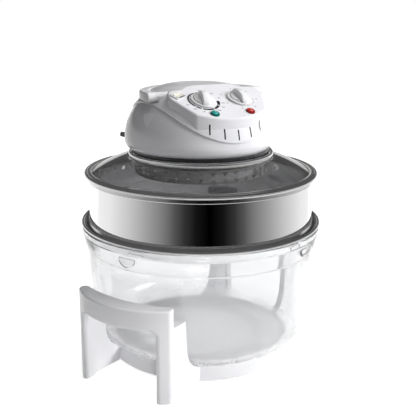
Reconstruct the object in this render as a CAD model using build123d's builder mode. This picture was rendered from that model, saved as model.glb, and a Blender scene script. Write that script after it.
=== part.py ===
from build123d import *
from math import atan2, cos, degrees, radians, sin, sqrt, tan
import os

# Halogen oven: a glass bowl on a low stand with two side handles, a steel extension ring on the
# bowl's lip, and a lift-off glass lid that carries the heater, the fan and the control head.
#
# Millimetres, +Z up. Pieces are built with the ring's underside near zero, and finish() lifts
# them so that the origin is on the bowl's axis, on the surface that the feet rest on.
# The side handles lie along X. Every lid piece is built square, with the front of the head
# facing -Y, and is then turned about Z by lid_turn to stand the way the lid was put down.

os.makedirs("parts", exist_ok=True)

# ---------------------------------------------------------------- driving dimensions

# Clearances
slide_gap = 0.3  # between bodies that only rest on each other
part_gap = 0.15  # between fixed pieces that nest
run_gap = 0.5  # around things that turn or rock

# Base ring
ring_radius = 130.0
ring_draft = 2.0
ring_height = 19.4
ring_wall = 3.0
ring_edge = 1.5
ring_seat = 17.7
ring_cradle = 120.0  # outside this radius the top follows the corner of the bowl
ring_bore = 92.0
ring_bore_lift = 4.0
ring_rib = 2.0
ring_rib_count = 6
ring_boss_wall = 2.8

# Side handles
handle_half_width = 75.0
handle_leg = 18.0
handle_height = 123.0
handle_bar_depth = 27.0
handle_reach = 206.0
handle_sweep = 110.0  # radius of the outer curve of the grip
handle_grip = 28.0  # thickness of the grip at its middle
handle_corner = 7.0
handle_window_corner = 9.0
handle_soften = 2.5
handle_leg_round = 5.0
leg_drop = 3.5  # how far the legs reach below the ring
arm_thickness = 12.0
arm_clearance = 1.0  # between the arm and the corner of the bowl
tongue_length = 22.0
tongue_width = 11.0
tongue_thickness = 4.0
tongue_lift = 2.5
tongue_passage = 18.0  # length of the opening in the ring for each tongue
handle_screw_radius = 2.0
handle_screw_head = 3.8
handle_screw_length = 11.0
handle_screw_inset = 15.0
screw_head_thickness = 1.8

# Rubber feet
foot_radius = 5.0
foot_thickness = 3.0
foot_proud = 1.0

# Glass bowl
bowl_wall = 5.0
bowl_foot_corner = 38.0
bowl_radius = 150.2  # outside, where the wall would meet the floor
bowl_lean = 4.6  # degrees that the wall leans outward
bowl_height = 186.5
bowl_lip_depth = 31.5  # from the top down to where the wall begins to thicken
bowl_lip_step = (2.0, 2.5)
bowl_lip_radius = 168.0
bowl_lip_band = 8.5
bowl_lip_wall = 5.2
bowl_lip_round = 2.0
lug_count = 4
lug_half_width = 13.0
lug_depth = 12.0
lug_drop = 12.5  # from the top of the bowl to the top of a lug
lug_root = 163.0
lug_rise = 5.5

# Extension ring
band_radius = 157.0
band_thickness = 1.2
band_top = 252.2
band_tail = 12.5  # how far the band hangs inside the lip
band_roll = 2.4
flange_thickness = 1.2
flange_crest = 6.2
flange_trough_radius = 160.6
flange_bead = 2.4
flange_reach = 0.7  # past the bowl's lip

# Lid rim, seal and glass
rim_radius = 163.0
rim_bead = 3.0
rim_sheet = 1.2
rim_skirt = 1.6  # how far the rim reaches down over the band
rim_skirt_gap = 0.9
rim_ledge = 8.0
rim_channel = 7.7
rim_lip = 3.6
seal_width = 5.6
glass_thickness = 4.0
glass_edge_radius = 157.0
glass_edge_lift = 2.4
glass_land_radius = 103.0
glass_hole_radius = 84.0
glass_land_top = 282.0
glass_bulge = 2.2

# Neck of the lid
gasket_thickness = 1.0
gasket_radius = 98.0
gasket_hole = 86.0
collar_radius = 101.0
collar_hole = 84.6
collar_height = 6.0
collar_sheet = 1.4
sheet_bend = 1.6

# Heater pan
pan_radius = 98.0
pan_wall_radius = 82.0
pan_sheet = 1.0
pan_hub_hole = 6.0
pan_screw_count = 6
pan_screw_circle = 73.0
pan_screw_radius = 2.0
pan_screw_head = 4.0
pan_screw_length = 4.5

# Heater guard
guard_radius = 92.0
guard_flange_radius = 97.0
guard_sheet = 1.0
guard_bottom = 258.0
guard_lip_radius = 84.0
guard_rows = 2
guard_row_pitch = 4.6
guard_diamonds = 36
guard_diamond_height = 7.4
guard_diamond_width = 9.0
guard_window_angles = (-88.0, 26.0, 146.0)  # from the front of the head, to its right
guard_window_height = 8.6
guard_window_narrow = 12.0
guard_window_wide = 20.0
guard_cut = 6.0  # length of the cutters that pierce the guard's wall
grille_rings = (12.0, 34.0, 56.0, 76.0)
grille_bar = 3.0
grille_spokes = 6
grille_thickness = 1.6

# Heater and its holders
tube_ring_radius = 66.0
tube_radius = 5.0
tube_height = 268.0
tube_gap_angle = 36.0
holder_length = 15.0
holder_width = 14.0
holder_drop = 7.5
holder_round = 2.0

# Fan in the cooking chamber
shaft_radius = 3.0
shaft_bottom = 261.0
shaft_chamfer = 0.5
fan_radius = 46.0
fan_bottom = 264.0
fan_blade_height = 9.0
fan_blade_count = 8
fan_blade_inner = 15.0
fan_blade_bow = 5.0
fan_sheet = 1.2
fan_hub_radius = 8.0
fan_hub_height = 14.0
fan_nut_radius = 5.0
fan_nut_height = 2.4

# Motor
motor_size = 62.0
motor_corner = 4.0
motor_setback = 8.0
motor_height = 16.0
motor_bore = 15.0
motor_window = 7.0
motor_core = 12.0
rotor_radius = 14.5
rotor_height = 9.0
coil_width = 28.0
coil_build = 4.0
bearing_radius = 8.0
bearing_height = 4.0
bracket_sheet = 1.5
bracket_length = 104.0
bracket_width = 24.0
bracket_foot = 12.0
bracket_rise = 10.0
bridge_length = 56.0
bridge_width = 20.0

# Cooling fan in the head
cooling_fan_radius = 38.0
cooling_fan_bottom = 325.0
cooling_fan_height = 8.0
cooling_blades = 9
cooling_blade_pitch = 30.0
cooling_blade_thickness = 1.4
cooling_hub_radius = 10.0
shaft_top = 334.0

# Head base plate
base_plate_radius = 95.0
base_plate_thickness = 4.0

# Head housing
head_setback = 6.0  # the head's own axis lies this far behind the lid's
head_radius = 103.5
head_foot_radius = 97.5
head_foot_height = 12.0
head_crown = 72.8
housing_wall = 3.0
cover_proud = 2.2
saddle_radius = 98.0  # the cover's lower edge follows a cylinder along Y
saddle_height = 411.0
cover_lap = 6.0
housing_screw_count = 4
housing_screw_circle = 84.0
housing_screw_turn = 30.0
housing_boss_radius = 5.5
housing_boss_height = 14.0
housing_gusset = 2.4
housing_gusset_lift = 3.0
housing_gusset_height = 4.0
housing_screw_radius = 1.8
housing_screw_head = 3.5
housing_screw_length = 14.0

# Control panel
panel_tilt = 25.0
panel_mark_y = -60.0  # a point on the panel's centre line ...
panel_mark_z = 360.5  # ... and its height
panel_front_radius = 101.0
panel_front_half = 54.0
panel_flank = (64.0, -59.0)
panel_shoulder = (72.0, -41.0)
panel_rear = (68.0, -25.0)
panel_rear_bow = 5.0
panel_corner = 12.0
panel_wall = 2.0
panel_edge = 3.5
panel_depth = 50.0
slit_count = 5
slit_turn = 11.0
slit_height = 13.5
slit_width = 2.0
slit_centre = 323.0
slit_rise = 2.1  # how much each slit further out sits higher

# Knobs and what they turn
knob_spacing = 56.0
knob_row_y = -53.5
knob_radius = 18.0
knob_disc = 5.0
knob_draft = 5.0
knob_grip_length = 34.0
knob_grip_width = 9.0
knob_height = 11.5
knob_float = 0.6
knob_round = 1.2
knob_bore_depth = 8.0
thermostat_rest = -14.0  # how far the thermostat's grip is turned
spindle_radius = 3.0
spindle_length = 20.0
thermostat_size = (30.0, 30.0, 15.0)
thermostat_corner = 3.0
timer_radius = 17.0
timer_depth = 20.0

# Signal lamps
lamp_spacing = 54.0
lamp_row_y = -82.5
lamp_radius = 6.3
lamp_barrel = 5.0
lamp_dome = 2.4
lamp_round = 2.1
lamp_depth = 6.0
neon_radius = 2.6
neon_length = 10.0

# Rocker switch
rocker_spot = (-57.5, -39.5)
rocker_turn = 25.0
rocker_bezel = (18.0, 14.0)
rocker_bezel_border = 2.2
rocker_bezel_height = 1.6
rocker_depth = 12.0
rocker_wall = 1.0
rocker_half_width = 3.9
rocker_crest = 2.6
rocker_valley = 1.6
rocker_keel = 2.5
rocker_keel_half = 3.1
rocker_pivot_drop = 1.5
rocker_pin_radius = 1.2
rocker_throw = 16.0

# Bail handle and its pivots
bail_pivot_y = -12.0
bail_pivot_z = 367.0
bail_inner_radius = 76.0
bail_width = 14.0
bail_thickness = 12.0
bail_round = 3.0
bail_hub_radius = 6.5
bail_hub_gap = 0.35
bail_gap = 0.6
bail_floor_gap = 1.0
track_start_y = -21.0
boss_root = 56.0
pin_radius = 3.0
pin_length = 24.0
pin_inset = 3.0

# Interlock switch that the lowered bail handle presses
interlock_spot = (-73.8, 14.0)
interlock_size = (12.0, 22.0, 14.0)
interlock_offset = 3.0
interlock_drop = 4.6
interlock_post = 3.0
plunger_radius = 2.0
plunger_length = 10.4
plunger_stroke = 2.2

# Thermal cut-out and terminal block on the base plate
cutout_radius = 8.0
cutout_height = 6.0
cutout_round = 1.2
cutout_spot = (57.0, 34.0)
terminal_size = (40.0, 16.0, 14.0)
terminal_spot = (0.0, 72.0)
terminal_ways = 4
terminal_hole_radius = 2.2

# Cord gland through the wall of the head
gland_turn = -139.0  # from the front of the head, to its right
gland_root = (97.0, 300.0)
gland_tip = (122.0, 303.0)
gland_radius = 4.4
gland_tip_radius = 3.4
gland_flange_radius = 6.4
gland_flange = (4.0, 8.5)
gland_bore = 2.4

# How the lid was put down, turned clockwise from square as seen from above
lid_turn = -26.0

# ---------------------------------------------------------------- sizes that follow

slope = radians(panel_tilt)
panel_normal = (0, -sin(slope), cos(slope))
handle_inner_radius = handle_reach - handle_grip
leg_foot = foot_proud - leg_drop
bowl_floor = ring_seat + slide_gap
bowl_lip_start = bowl_height - bowl_lip_depth
bowl_lip_full = bowl_height - bowl_lip_band
bowl_lip_inner = bowl_lip_radius - bowl_lip_wall
lug_top = bowl_height - lug_drop
flange_radius = bowl_lip_radius + flange_reach
flange_seat = bowl_height + slide_gap
rim_seat = band_top + slide_gap
glass_land_under = glass_land_top - glass_thickness
gasket_under = glass_land_under - gasket_thickness
guard_top = gasket_under - pan_sheet
collar_bottom = glass_land_top + gasket_thickness
plate_bottom = collar_bottom + collar_height
plate_top = plate_bottom + base_plate_thickness
head_foot = plate_top
head_belly = head_foot + head_foot_height
bracket_top = plate_top + bracket_rise
stator_top = bracket_top + motor_height
track_floor = bail_pivot_z - bail_thickness / 2 - bail_floor_gap
track_radius = bail_inner_radius - bail_gap
bail_radius = bail_inner_radius + bail_width
cover_wall = cover_proud - part_gap

head_section = Plane.XZ.offset(-head_setback)
head_axis = Axis((0, head_setback, 0), (0, 0, 1))
saddle_plane = Plane.XZ.offset(-2 * head_radius)


def sheet_section(thickness, bend, *points):
    """Half section of a ring of bent sheet, from the line along the middle of the sheet."""
    with BuildSketch(Plane.XZ) as section:
        with BuildLine():
            FilletPolyline(*points, radius=bend)
            offset(amount=thickness / 2)
        make_face()
    return section.sketch


def crown_profile(grow):
    """Half section of the head: rolled foot, upright belly, round crown and flat top."""
    belly = head_radius + grow
    crown = head_crown + grow
    with BuildSketch(head_section) as section:
        with BuildLine():
            roll = TangentArc((belly, head_belly), (head_foot_radius + grow, head_foot), tangent=(0, -1))
            side = CenterArc((belly - crown, head_belly), crown, 0, 90)
            Polyline(side @ 1, (0, head_belly + crown), (0, head_foot), roll @ 1)
        make_face()
    return section.sketch


def panel_height(y):
    """Height of the panel's surface at plan position y."""
    return panel_mark_z + (y - panel_mark_y) * tan(slope)


def panel_spot(x, y, lift=0.0, turn=0.0):
    """Plane on the panel at a plan position, raised along its normal and turned in its surface."""
    angle = radians(turn)
    across = (cos(angle), sin(angle) * cos(slope), sin(angle) * sin(slope))
    return Plane(origin=(x, y, panel_height(y)), x_dir=across, z_dir=panel_normal).offset(lift)


def panel_outline(inset):
    """Plan of the raised panel: round front, spreading flanks, shoulders and a bowed back."""
    reach = panel_front_radius - inset
    front_x = panel_front_half - inset / 2
    front_y = head_setback - sqrt(reach**2 - front_x**2)
    flank = (panel_flank[0] - inset, panel_flank[1])
    shoulder = (panel_shoulder[0] - inset, panel_shoulder[1])
    rear = (panel_rear[0] - inset, panel_rear[1] - inset)
    with BuildSketch() as outline:
        with BuildLine():
            ThreePointArc((-front_x, front_y), (0, head_setback - reach), (front_x, front_y))
            Polyline((front_x, front_y), flank, shoulder, rear)
            ThreePointArc(rear, (0, rear[1] + panel_rear_bow), (-rear[0], rear[1]))
            Polyline((-rear[0], rear[1]), (-shoulder[0], shoulder[1]), (-flank[0], flank[1]), (-front_x, front_y))
        make_face()
        fillet(outline.vertices(), panel_corner)
    return outline.sketch


def raised_panel(inset, drop, edge):
    """The panel as a prism with rounded edges that stops drop below the panel's sloping surface."""
    with BuildPart() as prism:
        with BuildSketch(Plane.XY.offset(panel_height(head_setback - panel_front_radius) - panel_depth / 2)):
            add(panel_outline(inset))
        extrude(amount=panel_depth + panel_depth)
        split(bisect_by=panel_spot(0, panel_mark_y, -drop), keep=Keep.BOTTOM)
        fillet(prism.edges().group_by(Axis((0, 0, 0), panel_normal))[-1], edge)
    return prism


def track_profile(radius):
    """Plan of all that lies outside the bail handle's track, from its pivots to the rear."""
    with BuildSketch() as plan:
        with Locations((0, track_start_y + 2 * head_radius)):
            Rectangle(4 * head_radius, 4 * head_radius)
        with Locations((0, track_start_y - head_radius)):
            Rectangle(4 * head_radius, 2 * head_radius, mode=Mode.SUBTRACT)
        with Locations((0, bail_pivot_y)):
            Circle(radius, mode=Mode.SUBTRACT)
    return plan.sketch


def finish(part, name, turn=0.0):
    """Label a piece, turn it with the lid where it belongs to the lid, lift it and write it."""
    piece = part.rotate(Axis.Z, turn).moved(Location((0, 0, leg_drop)))
    piece.label = name
    export_step(piece, f"parts/{name}.step")


# ---------------------------------------------------------------- stand

ring_taper = degrees(atan2(ring_draft, ring_height))
ring_under = ring_seat - ring_wall
arm_y = handle_half_width - handle_leg / 2
ring_entry = sqrt(ring_radius**2 - arm_y**2)
screw_x = ring_entry - handle_screw_inset
screw_spots = [(sx * screw_x, sy * arm_y) for sx in (-1, 1) for sy in (-1, 1)]
tongue_top = tongue_lift + tongue_thickness
leg_inner_x = sqrt(handle_inner_radius**2 - arm_y**2)
leg_outer_x = handle_reach - handle_sweep + sqrt(handle_sweep**2 - arm_y**2)
foot_x = (leg_inner_x + leg_outer_x) / 2
window_half_width = handle_half_width - handle_leg
window_top = handle_height - handle_bar_depth
arm_end = sqrt(ring_radius**2 - handle_half_width**2) - ring_wall
bowl_lip_x = bowl_radius + (bowl_lip_start - bowl_floor) * tan(radians(bowl_lean))

with BuildPart() as base_ring:
    with BuildSketch(Plane.XZ):
        with BuildLine():
            Polyline(
                (ring_radius, 0),
                (ring_radius - ring_draft, ring_height),
                (ring_cradle, ring_seat),
                (ring_bore, ring_seat),
                (ring_bore, ring_bore_lift),
                (ring_bore + ring_wall, ring_bore_lift),
                (ring_bore + ring_wall, ring_under),
                (ring_radius - ring_wall - ring_draft, ring_under),
                (ring_radius - ring_wall, 0),
                close=True,
            )
        make_face()
    revolve(axis=Axis.Z)
    fillet(base_ring.edges().group_by(Axis.Z)[-1], ring_edge)
    # Ribs under the seat
    with BuildSketch(Plane.XY.offset(ring_under)):
        with PolarLocations((ring_bore + ring_radius) / 2, ring_rib_count):
            Rectangle(ring_radius - ring_bore - ring_wall, ring_rib)
    extrude(amount=ring_bore_lift + ring_wall - ring_under)
    # Bosses for the handle screws
    with BuildSketch(Plane.XY.offset(tongue_top)):
        with Locations(*screw_spots):
            Circle(handle_screw_radius + ring_boss_wall)
    extrude(amount=ring_under - tongue_top)
    with BuildSketch(Plane.XY.offset(tongue_top)):
        with Locations(*screw_spots):
            Circle(handle_screw_radius + part_gap)
    extrude(amount=handle_screw_length - tongue_thickness + part_gap, mode=Mode.SUBTRACT)
    # Openings in the outer wall for the tongues
    with BuildSketch():
        with GridLocations(2 * ring_entry, 2 * arm_y, 2, 2):
            Rectangle(tongue_passage, tongue_width + 2 * part_gap)
    extrude(amount=tongue_top + part_gap, mode=Mode.SUBTRACT)
finish(base_ring.part, "base_ring")

with BuildPart() as bowl_clearance:
    with BuildSketch(Plane.XZ):
        with BuildLine():
            clear = FilletPolyline(
                (0, bowl_floor - arm_clearance),
                (bowl_radius + arm_clearance, bowl_floor - arm_clearance),
                (bowl_lip_x + arm_clearance, bowl_lip_start),
                radius=bowl_foot_corner + arm_clearance,
            )
            Polyline(clear @ 1, (0, bowl_lip_start), clear @ 0)
        make_face()
    revolve(axis=Axis.Z)

with BuildPart() as handle_right:
    # One thick curved wall for legs and grip
    with BuildSketch(Plane.XY.offset(leg_foot)) as wall_plan:
        with BuildLine():
            tip_x = handle_reach - handle_sweep + sqrt(handle_sweep**2 - handle_half_width**2)
            root_x = sqrt(handle_inner_radius**2 - handle_half_width**2)
            ThreePointArc((tip_x, -handle_half_width), (handle_reach, 0), (tip_x, handle_half_width))
            Line((tip_x, handle_half_width), (root_x, handle_half_width))
            ThreePointArc((root_x, handle_half_width), (handle_inner_radius, 0), (root_x, -handle_half_width))
            Line((root_x, -handle_half_width), (tip_x, -handle_half_width))
        make_face()
        fillet(wall_plan.vertices(), handle_corner)
    extrude(amount=handle_height - leg_foot)
    fillet(handle_right.edges().group_by(Axis.Z)[-1], handle_soften)
    # The space between the legs, under the grip, and the rounding of the legs beside it
    with BuildSketch(Plane.YZ.offset(root_x)) as window:
        with Locations((0, (window_top + leg_foot) / 2)):
            Rectangle(2 * window_half_width, window_top - leg_foot)
        fillet(window.vertices().group_by(Axis.Y)[-1], handle_window_corner)
    extrude(amount=handle_reach - root_x, mode=Mode.SUBTRACT)
    outer_edges = handle_right.faces().sort_by(Axis.X)[-1].edges()
    window_edges = outer_edges.filter_by_position(Axis.Z, leg_foot + part_gap, window_top + part_gap)
    fillet(window_edges.filter_by_position(Axis.Y, -handle_reach, handle_reach), handle_leg_round)
    # Webs that run back to the ring under the corner of the bowl
    web_start = root_x + handle_corner
    for lateral in (-arm_y, arm_y):
        with BuildSketch(Plane.XZ.offset(-lateral - arm_thickness / 2)):
            with Locations(((arm_end + web_start) / 2, (window_top + leg_foot) / 2)):
                Rectangle(web_start - arm_end, window_top - leg_foot)
        extrude(amount=arm_thickness)
    with BuildSketch(Plane.XY.offset(leg_foot)):
        Circle(ring_radius + part_gap)
    extrude(amount=-leg_foot, mode=Mode.SUBTRACT)
    with BuildSketch():
        Circle(ring_radius + part_gap)
    extrude(amount=ring_height, taper=ring_taper, mode=Mode.SUBTRACT)
    with BuildSketch(Plane.XY.offset(ring_height)):
        Circle(ring_radius - ring_draft + part_gap)
    extrude(amount=handle_height, mode=Mode.SUBTRACT)
    add(bowl_clearance.part, mode=Mode.SUBTRACT)
    # Tongues that reach under the ring to its screws
    with BuildSketch(Plane.XY.offset(tongue_lift)):
        with GridLocations(0, 2 * arm_y, 1, 2):
            with Locations((ring_entry + (arm_thickness - tongue_length) / 2, 0)):
                Rectangle(tongue_length + arm_thickness, tongue_width)
    extrude(amount=tongue_thickness)
    with Locations(Plane(origin=(0, 0, tongue_lift), x_dir=(1, 0, 0), z_dir=(0, 0, -1))):
        with Locations((screw_x, -arm_y), (screw_x, arm_y)):
            CounterBoreHole(
                handle_screw_radius + part_gap,
                handle_screw_head + part_gap,
                screw_head_thickness,
                depth=tongue_thickness,
            )
    # Recesses for the feet
    with BuildSketch(Plane.XY.offset(leg_foot)):
        with Locations((foot_x, -arm_y), (foot_x, arm_y)):
            Circle(foot_radius + part_gap)
    extrude(amount=foot_thickness - foot_proud, mode=Mode.SUBTRACT)
finish(handle_right.part, "handle_right")

with BuildPart() as handle_left:
    mirror(handle_right.part, about=Plane.YZ)
finish(handle_left.part, "handle_left")

with BuildPart() as handle_screws:
    with BuildSketch(Plane.XY.offset(tongue_lift)):
        with Locations(*screw_spots):
            Circle(handle_screw_head)
    extrude(amount=screw_head_thickness)
    with BuildSketch(Plane.XY.offset(tongue_lift + screw_head_thickness)):
        with Locations(*screw_spots):
            Circle(handle_screw_radius)
    extrude(amount=handle_screw_length - screw_head_thickness)
finish(handle_screws.part, "handle_screws")

with BuildPart() as rubber_feet:
    with BuildSketch(Plane.XY.offset(-leg_drop)):
        with GridLocations(2 * foot_x, 2 * arm_y, 2, 2):
            Circle(foot_radius)
    extrude(amount=foot_thickness)
    chamfer(rubber_feet.edges().group_by(Axis.Z)[0], foot_proud / 2)
finish(rubber_feet.part, "rubber_feet")

# ---------------------------------------------------------------- bowl

with BuildPart() as glass_bowl:
    with BuildSketch(Plane.XZ):
        with BuildLine():
            outside = FilletPolyline(
                (0, bowl_floor),
                (bowl_radius, bowl_floor),
                (bowl_lip_x, bowl_lip_start),
                radius=bowl_foot_corner,
            )
            inside = FilletPolyline(
                (0, bowl_floor + bowl_wall),
                (bowl_radius - bowl_wall, bowl_floor + bowl_wall),
                (bowl_lip_x - bowl_wall, bowl_lip_start),
                radius=bowl_foot_corner - bowl_wall,
            )
            Line(outside @ 0, inside @ 0)
            Polyline(
                outside @ 1,
                (bowl_lip_x + bowl_lip_step[0], bowl_lip_start + bowl_lip_step[1]),
                (bowl_lip_radius, bowl_lip_full),
                (bowl_lip_radius, bowl_height),
                (bowl_lip_inner, bowl_height),
                (bowl_lip_inner, bowl_lip_full),
                inside @ 1,
            )
        make_face()
    revolve(axis=Axis.Z)
    fillet(glass_bowl.edges().group_by(Axis.Z)[-1], bowl_lip_round)
    # Moulded lugs under the lip
    for turn in range(lug_count):
        lug_plane = Plane.YZ.rotated((0, 0, turn * 360 / lug_count)).offset(lug_root)
        with BuildSketch(lug_plane):
            with Locations((0, lug_top)):
                Ellipse(lug_half_width, lug_depth)
            with Locations((0, lug_top + lug_depth / 2)):
                Rectangle(2 * lug_half_width, lug_depth, mode=Mode.SUBTRACT)
        extrude(amount=lug_rise)
finish(glass_bowl.part, "glass_bowl")

# ---------------------------------------------------------------- extension ring

band_mid = band_radius - band_thickness / 2
flange_mid = flange_seat + flange_thickness / 2

with BuildPart() as extension_band:
    with BuildSketch(Plane.XZ):
        with Locations((band_mid, (band_top - band_roll + bowl_height - band_tail) / 2)):
            Rectangle(band_thickness, band_top - band_roll - bowl_height + band_tail)
        with Locations((band_radius - band_roll, band_top - band_roll)):
            Circle(band_roll)
    revolve(axis=Axis.Z)
finish(extension_band.part, "extension_band")

with BuildPart() as extension_flange:
    with BuildSketch(Plane.XZ):
        add(
            sheet_section(
                flange_thickness,
                sheet_bend,
                (band_radius + flange_thickness / 2, flange_mid + flange_crest + sheet_bend),
                (band_radius + flange_thickness / 2, flange_mid + flange_crest),
                (flange_trough_radius, flange_mid),
                (bowl_lip_inner + sheet_bend, flange_mid),
                (flange_radius - flange_bead, flange_mid + flange_bead),
            )
        )
        with Locations((flange_radius - flange_bead, flange_mid + flange_bead)):
            Circle(flange_bead)
    revolve(axis=Axis.Z)
finish(extension_flange.part, "extension_flange")

# ---------------------------------------------------------------- lid rim, seal and glass

rim_wall_x = band_radius + rim_skirt_gap + rim_sheet / 2
rim_ledge_z = rim_seat + rim_sheet / 2
rim_lip_z = rim_seat + rim_sheet + rim_channel + rim_sheet / 2
glass_edge = (glass_edge_radius - glass_thickness / 2, rim_seat + rim_sheet + glass_edge_lift)
glass_land_mid = glass_land_top - glass_thickness / 2

with BuildPart() as lid_rim:
    add(
        sheet_section(
            rim_sheet,
            rim_sheet,
            (rim_wall_x - rim_ledge, rim_ledge_z),
            (rim_wall_x, rim_ledge_z),
            (rim_wall_x, rim_lip_z),
            (rim_wall_x - rim_lip, rim_lip_z),
        )
    )
    revolve(axis=Axis.Z)
    with BuildSketch(Plane.XZ):
        with Locations((rim_radius - rim_bead, rim_seat + rim_channel - rim_bead / 2)):
            Circle(rim_bead)
        with Locations((rim_wall_x - rim_bead, rim_seat + rim_channel - rim_bead / 2)):
            Rectangle(2 * rim_bead - rim_sheet, 3 * rim_bead, mode=Mode.SUBTRACT)
    revolve(axis=Axis.Z)
    with BuildSketch(Plane.XZ):
        with Locations((rim_wall_x, rim_seat + rim_sheet / 2)):
            Rectangle(rim_sheet, 2 * rim_skirt + rim_sheet)
    revolve(axis=Axis.Z)
finish(lid_rim.part, "lid_rim")

with BuildPart() as lid_glass:
    with BuildSketch(Plane.XZ):
        with BuildLine() as glass_mid:
            land_end = (glass_land_radius, glass_land_mid)
            chord = Line(land_end, glass_edge, mode=Mode.PRIVATE)
            crest = chord @ 0.5 + Vector(glass_bulge, 0).rotate(Axis.Z, chord.tangent_angle_at(0.5) + 90)
            ThreePointArc(glass_edge, crest, land_end)
            Line(land_end, (glass_hole_radius + glass_thickness / 2, glass_land_mid))
            offset(amount=glass_thickness / 2)
        make_face()
    revolve(axis=Axis.Z)
finish(lid_glass.part, "lid_glass")

with BuildPart() as lid_seal:
    with BuildSketch(Plane.XZ) as seal_section:
        with Locations((rim_wall_x - rim_sheet / 2 - seal_width / 2, rim_seat + rim_sheet + rim_channel / 2)):
            Rectangle(seal_width, rim_channel)
        fillet(seal_section.vertices().group_by(Axis.X)[-1], rim_sheet)
        with BuildLine():
            ThreePointArc(glass_edge, crest, land_end)
            Line(land_end, (glass_hole_radius, glass_land_mid))
            offset(amount=glass_thickness / 2 + part_gap)
        make_face(mode=Mode.SUBTRACT)
    revolve(axis=Axis.Z)
finish(lid_seal.part, "lid_seal")

# ---------------------------------------------------------------- neck of the lid

for gasket_name, gasket_z in (("upper_gasket", glass_land_top), ("lower_gasket", gasket_under)):
    with BuildPart() as gasket:
        with BuildSketch(Plane.XY.offset(gasket_z)):
            Circle(gasket_radius)
            Circle(gasket_hole, mode=Mode.SUBTRACT)
        extrude(amount=gasket_thickness)
    finish(gasket.part, gasket_name)

with BuildPart() as collar_ring:
    add(
        sheet_section(
            collar_sheet,
            sheet_bend,
            (collar_hole + collar_sheet / 2, plate_bottom - collar_sheet / 2),
            (collar_radius - collar_sheet / 2, plate_bottom - collar_sheet / 2),
            (collar_radius - collar_sheet / 2, collar_bottom + collar_sheet / 2),
            (collar_hole + collar_sheet / 2, collar_bottom + collar_sheet / 2),
        )
    )
    revolve(axis=Axis.Z)
finish(collar_ring.part, "collar_ring")

with BuildPart() as head_base:
    with BuildSketch(Plane.XY.offset(plate_bottom)):
        Circle(base_plate_radius)
        Circle(pan_hub_hole, mode=Mode.SUBTRACT)
        with PolarLocations(pan_screw_circle, pan_screw_count):
            Circle(pan_screw_radius + part_gap, mode=Mode.SUBTRACT)
    extrude(amount=base_plate_thickness)
    chamfer(head_base.edges().group_by(Axis.Z)[0].sort_by(SortBy.RADIUS)[-1], part_gap)
    with Locations(Plane(origin=(0, head_setback, plate_bottom), z_dir=(0, 0, -1), x_dir=(1, 0, 0))):
        with PolarLocations(housing_screw_circle, housing_screw_count, -housing_screw_turn):
            CounterBoreHole(
                housing_screw_radius + part_gap,
                housing_screw_head + part_gap,
                screw_head_thickness,
                depth=base_plate_thickness,
            )
finish(head_base.part, "head_base", lid_turn)

with BuildPart() as heater_pan:
    add(
        sheet_section(
            pan_sheet,
            sheet_bend,
            (pan_radius - pan_sheet / 2, gasket_under - pan_sheet / 2),
            (pan_wall_radius - pan_sheet / 2, gasket_under - pan_sheet / 2),
            (pan_wall_radius - pan_sheet / 2, plate_bottom - pan_sheet / 2),
            (pan_hub_hole + pan_sheet / 2, plate_bottom - pan_sheet / 2),
        )
    )
    revolve(axis=Axis.Z)
    with BuildSketch(Plane.XY.offset(plate_bottom)):
        with PolarLocations(pan_screw_circle, pan_screw_count):
            Circle(pan_screw_radius + part_gap)
    extrude(amount=-2 * pan_sheet, mode=Mode.SUBTRACT)
finish(heater_pan.part, "heater_pan", lid_turn)

with BuildPart() as pan_screws:
    with BuildSketch(Plane.XY.offset(plate_bottom - pan_sheet)):
        with PolarLocations(pan_screw_circle, pan_screw_count):
            Circle(pan_screw_head)
    extrude(amount=-screw_head_thickness)
    with BuildSketch(Plane.XY.offset(plate_bottom - pan_sheet)):
        with PolarLocations(pan_screw_circle, pan_screw_count):
            Circle(pan_screw_radius)
    extrude(amount=pan_screw_length)
finish(pan_screws.part, "pan_screws", lid_turn)

# ---------------------------------------------------------------- heater guard

guard_middle = (guard_bottom + guard_top) / 2

# One column of the diamond mesh, and one of the open windows in it
with BuildPart() as guard_mesh:
    with BuildSketch(Plane.YZ.offset(guard_radius - guard_cut / 2)):
        with Locations((0, guard_middle)):
            with GridLocations(0, 2 * guard_row_pitch, 1, guard_rows):
                Polygon(
                    (-guard_diamond_width / 2, 0),
                    (0, -guard_diamond_height / 2),
                    (guard_diamond_width / 2, 0),
                    (0, guard_diamond_height / 2),
                )
    extrude(amount=guard_cut)

with BuildPart() as guard_window:
    with BuildSketch(Plane.YZ.offset(guard_radius - guard_cut / 2)):
        with Locations((0, guard_middle)):
            Polygon(
                (-guard_window_wide / 2, guard_window_height / 2),
                (-guard_window_narrow / 2, -guard_window_height / 2),
                (guard_window_narrow / 2, -guard_window_height / 2),
                (guard_window_wide / 2, guard_window_height / 2),
            )
    extrude(amount=guard_cut)

with BuildPart() as heater_guard:
    add(
        sheet_section(
            guard_sheet,
            guard_sheet,
            (guard_flange_radius - guard_sheet / 2, guard_top - guard_sheet / 2),
            (guard_radius - guard_sheet / 2, guard_top - guard_sheet / 2),
            (guard_radius - guard_sheet / 2, guard_bottom + guard_sheet / 2),
            (guard_lip_radius + guard_sheet / 2, guard_bottom + guard_sheet / 2),
        )
    )
    revolve(axis=Axis.Z)
    with PolarLocations(0, guard_diamonds):
        add(guard_mesh.part, mode=Mode.SUBTRACT)
    for angle in guard_window_angles:
        with PolarLocations(0, 1, angle - 90):
            add(guard_window.part, mode=Mode.SUBTRACT)
    # Grille across the bottom
    with BuildSketch(Plane.XY.offset(guard_bottom)):
        for ring in grille_rings:
            Circle(ring + grille_bar / 2)
            Circle(ring - grille_bar / 2, mode=Mode.SUBTRACT)
        with PolarLocations((grille_rings[0] + guard_lip_radius + grille_bar) / 2, grille_spokes):
            Rectangle(guard_lip_radius + grille_bar - grille_rings[0], grille_bar)
    extrude(amount=grille_thickness)
finish(heater_guard.part, "heater_guard", lid_turn)

# ---------------------------------------------------------------- heater

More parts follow.
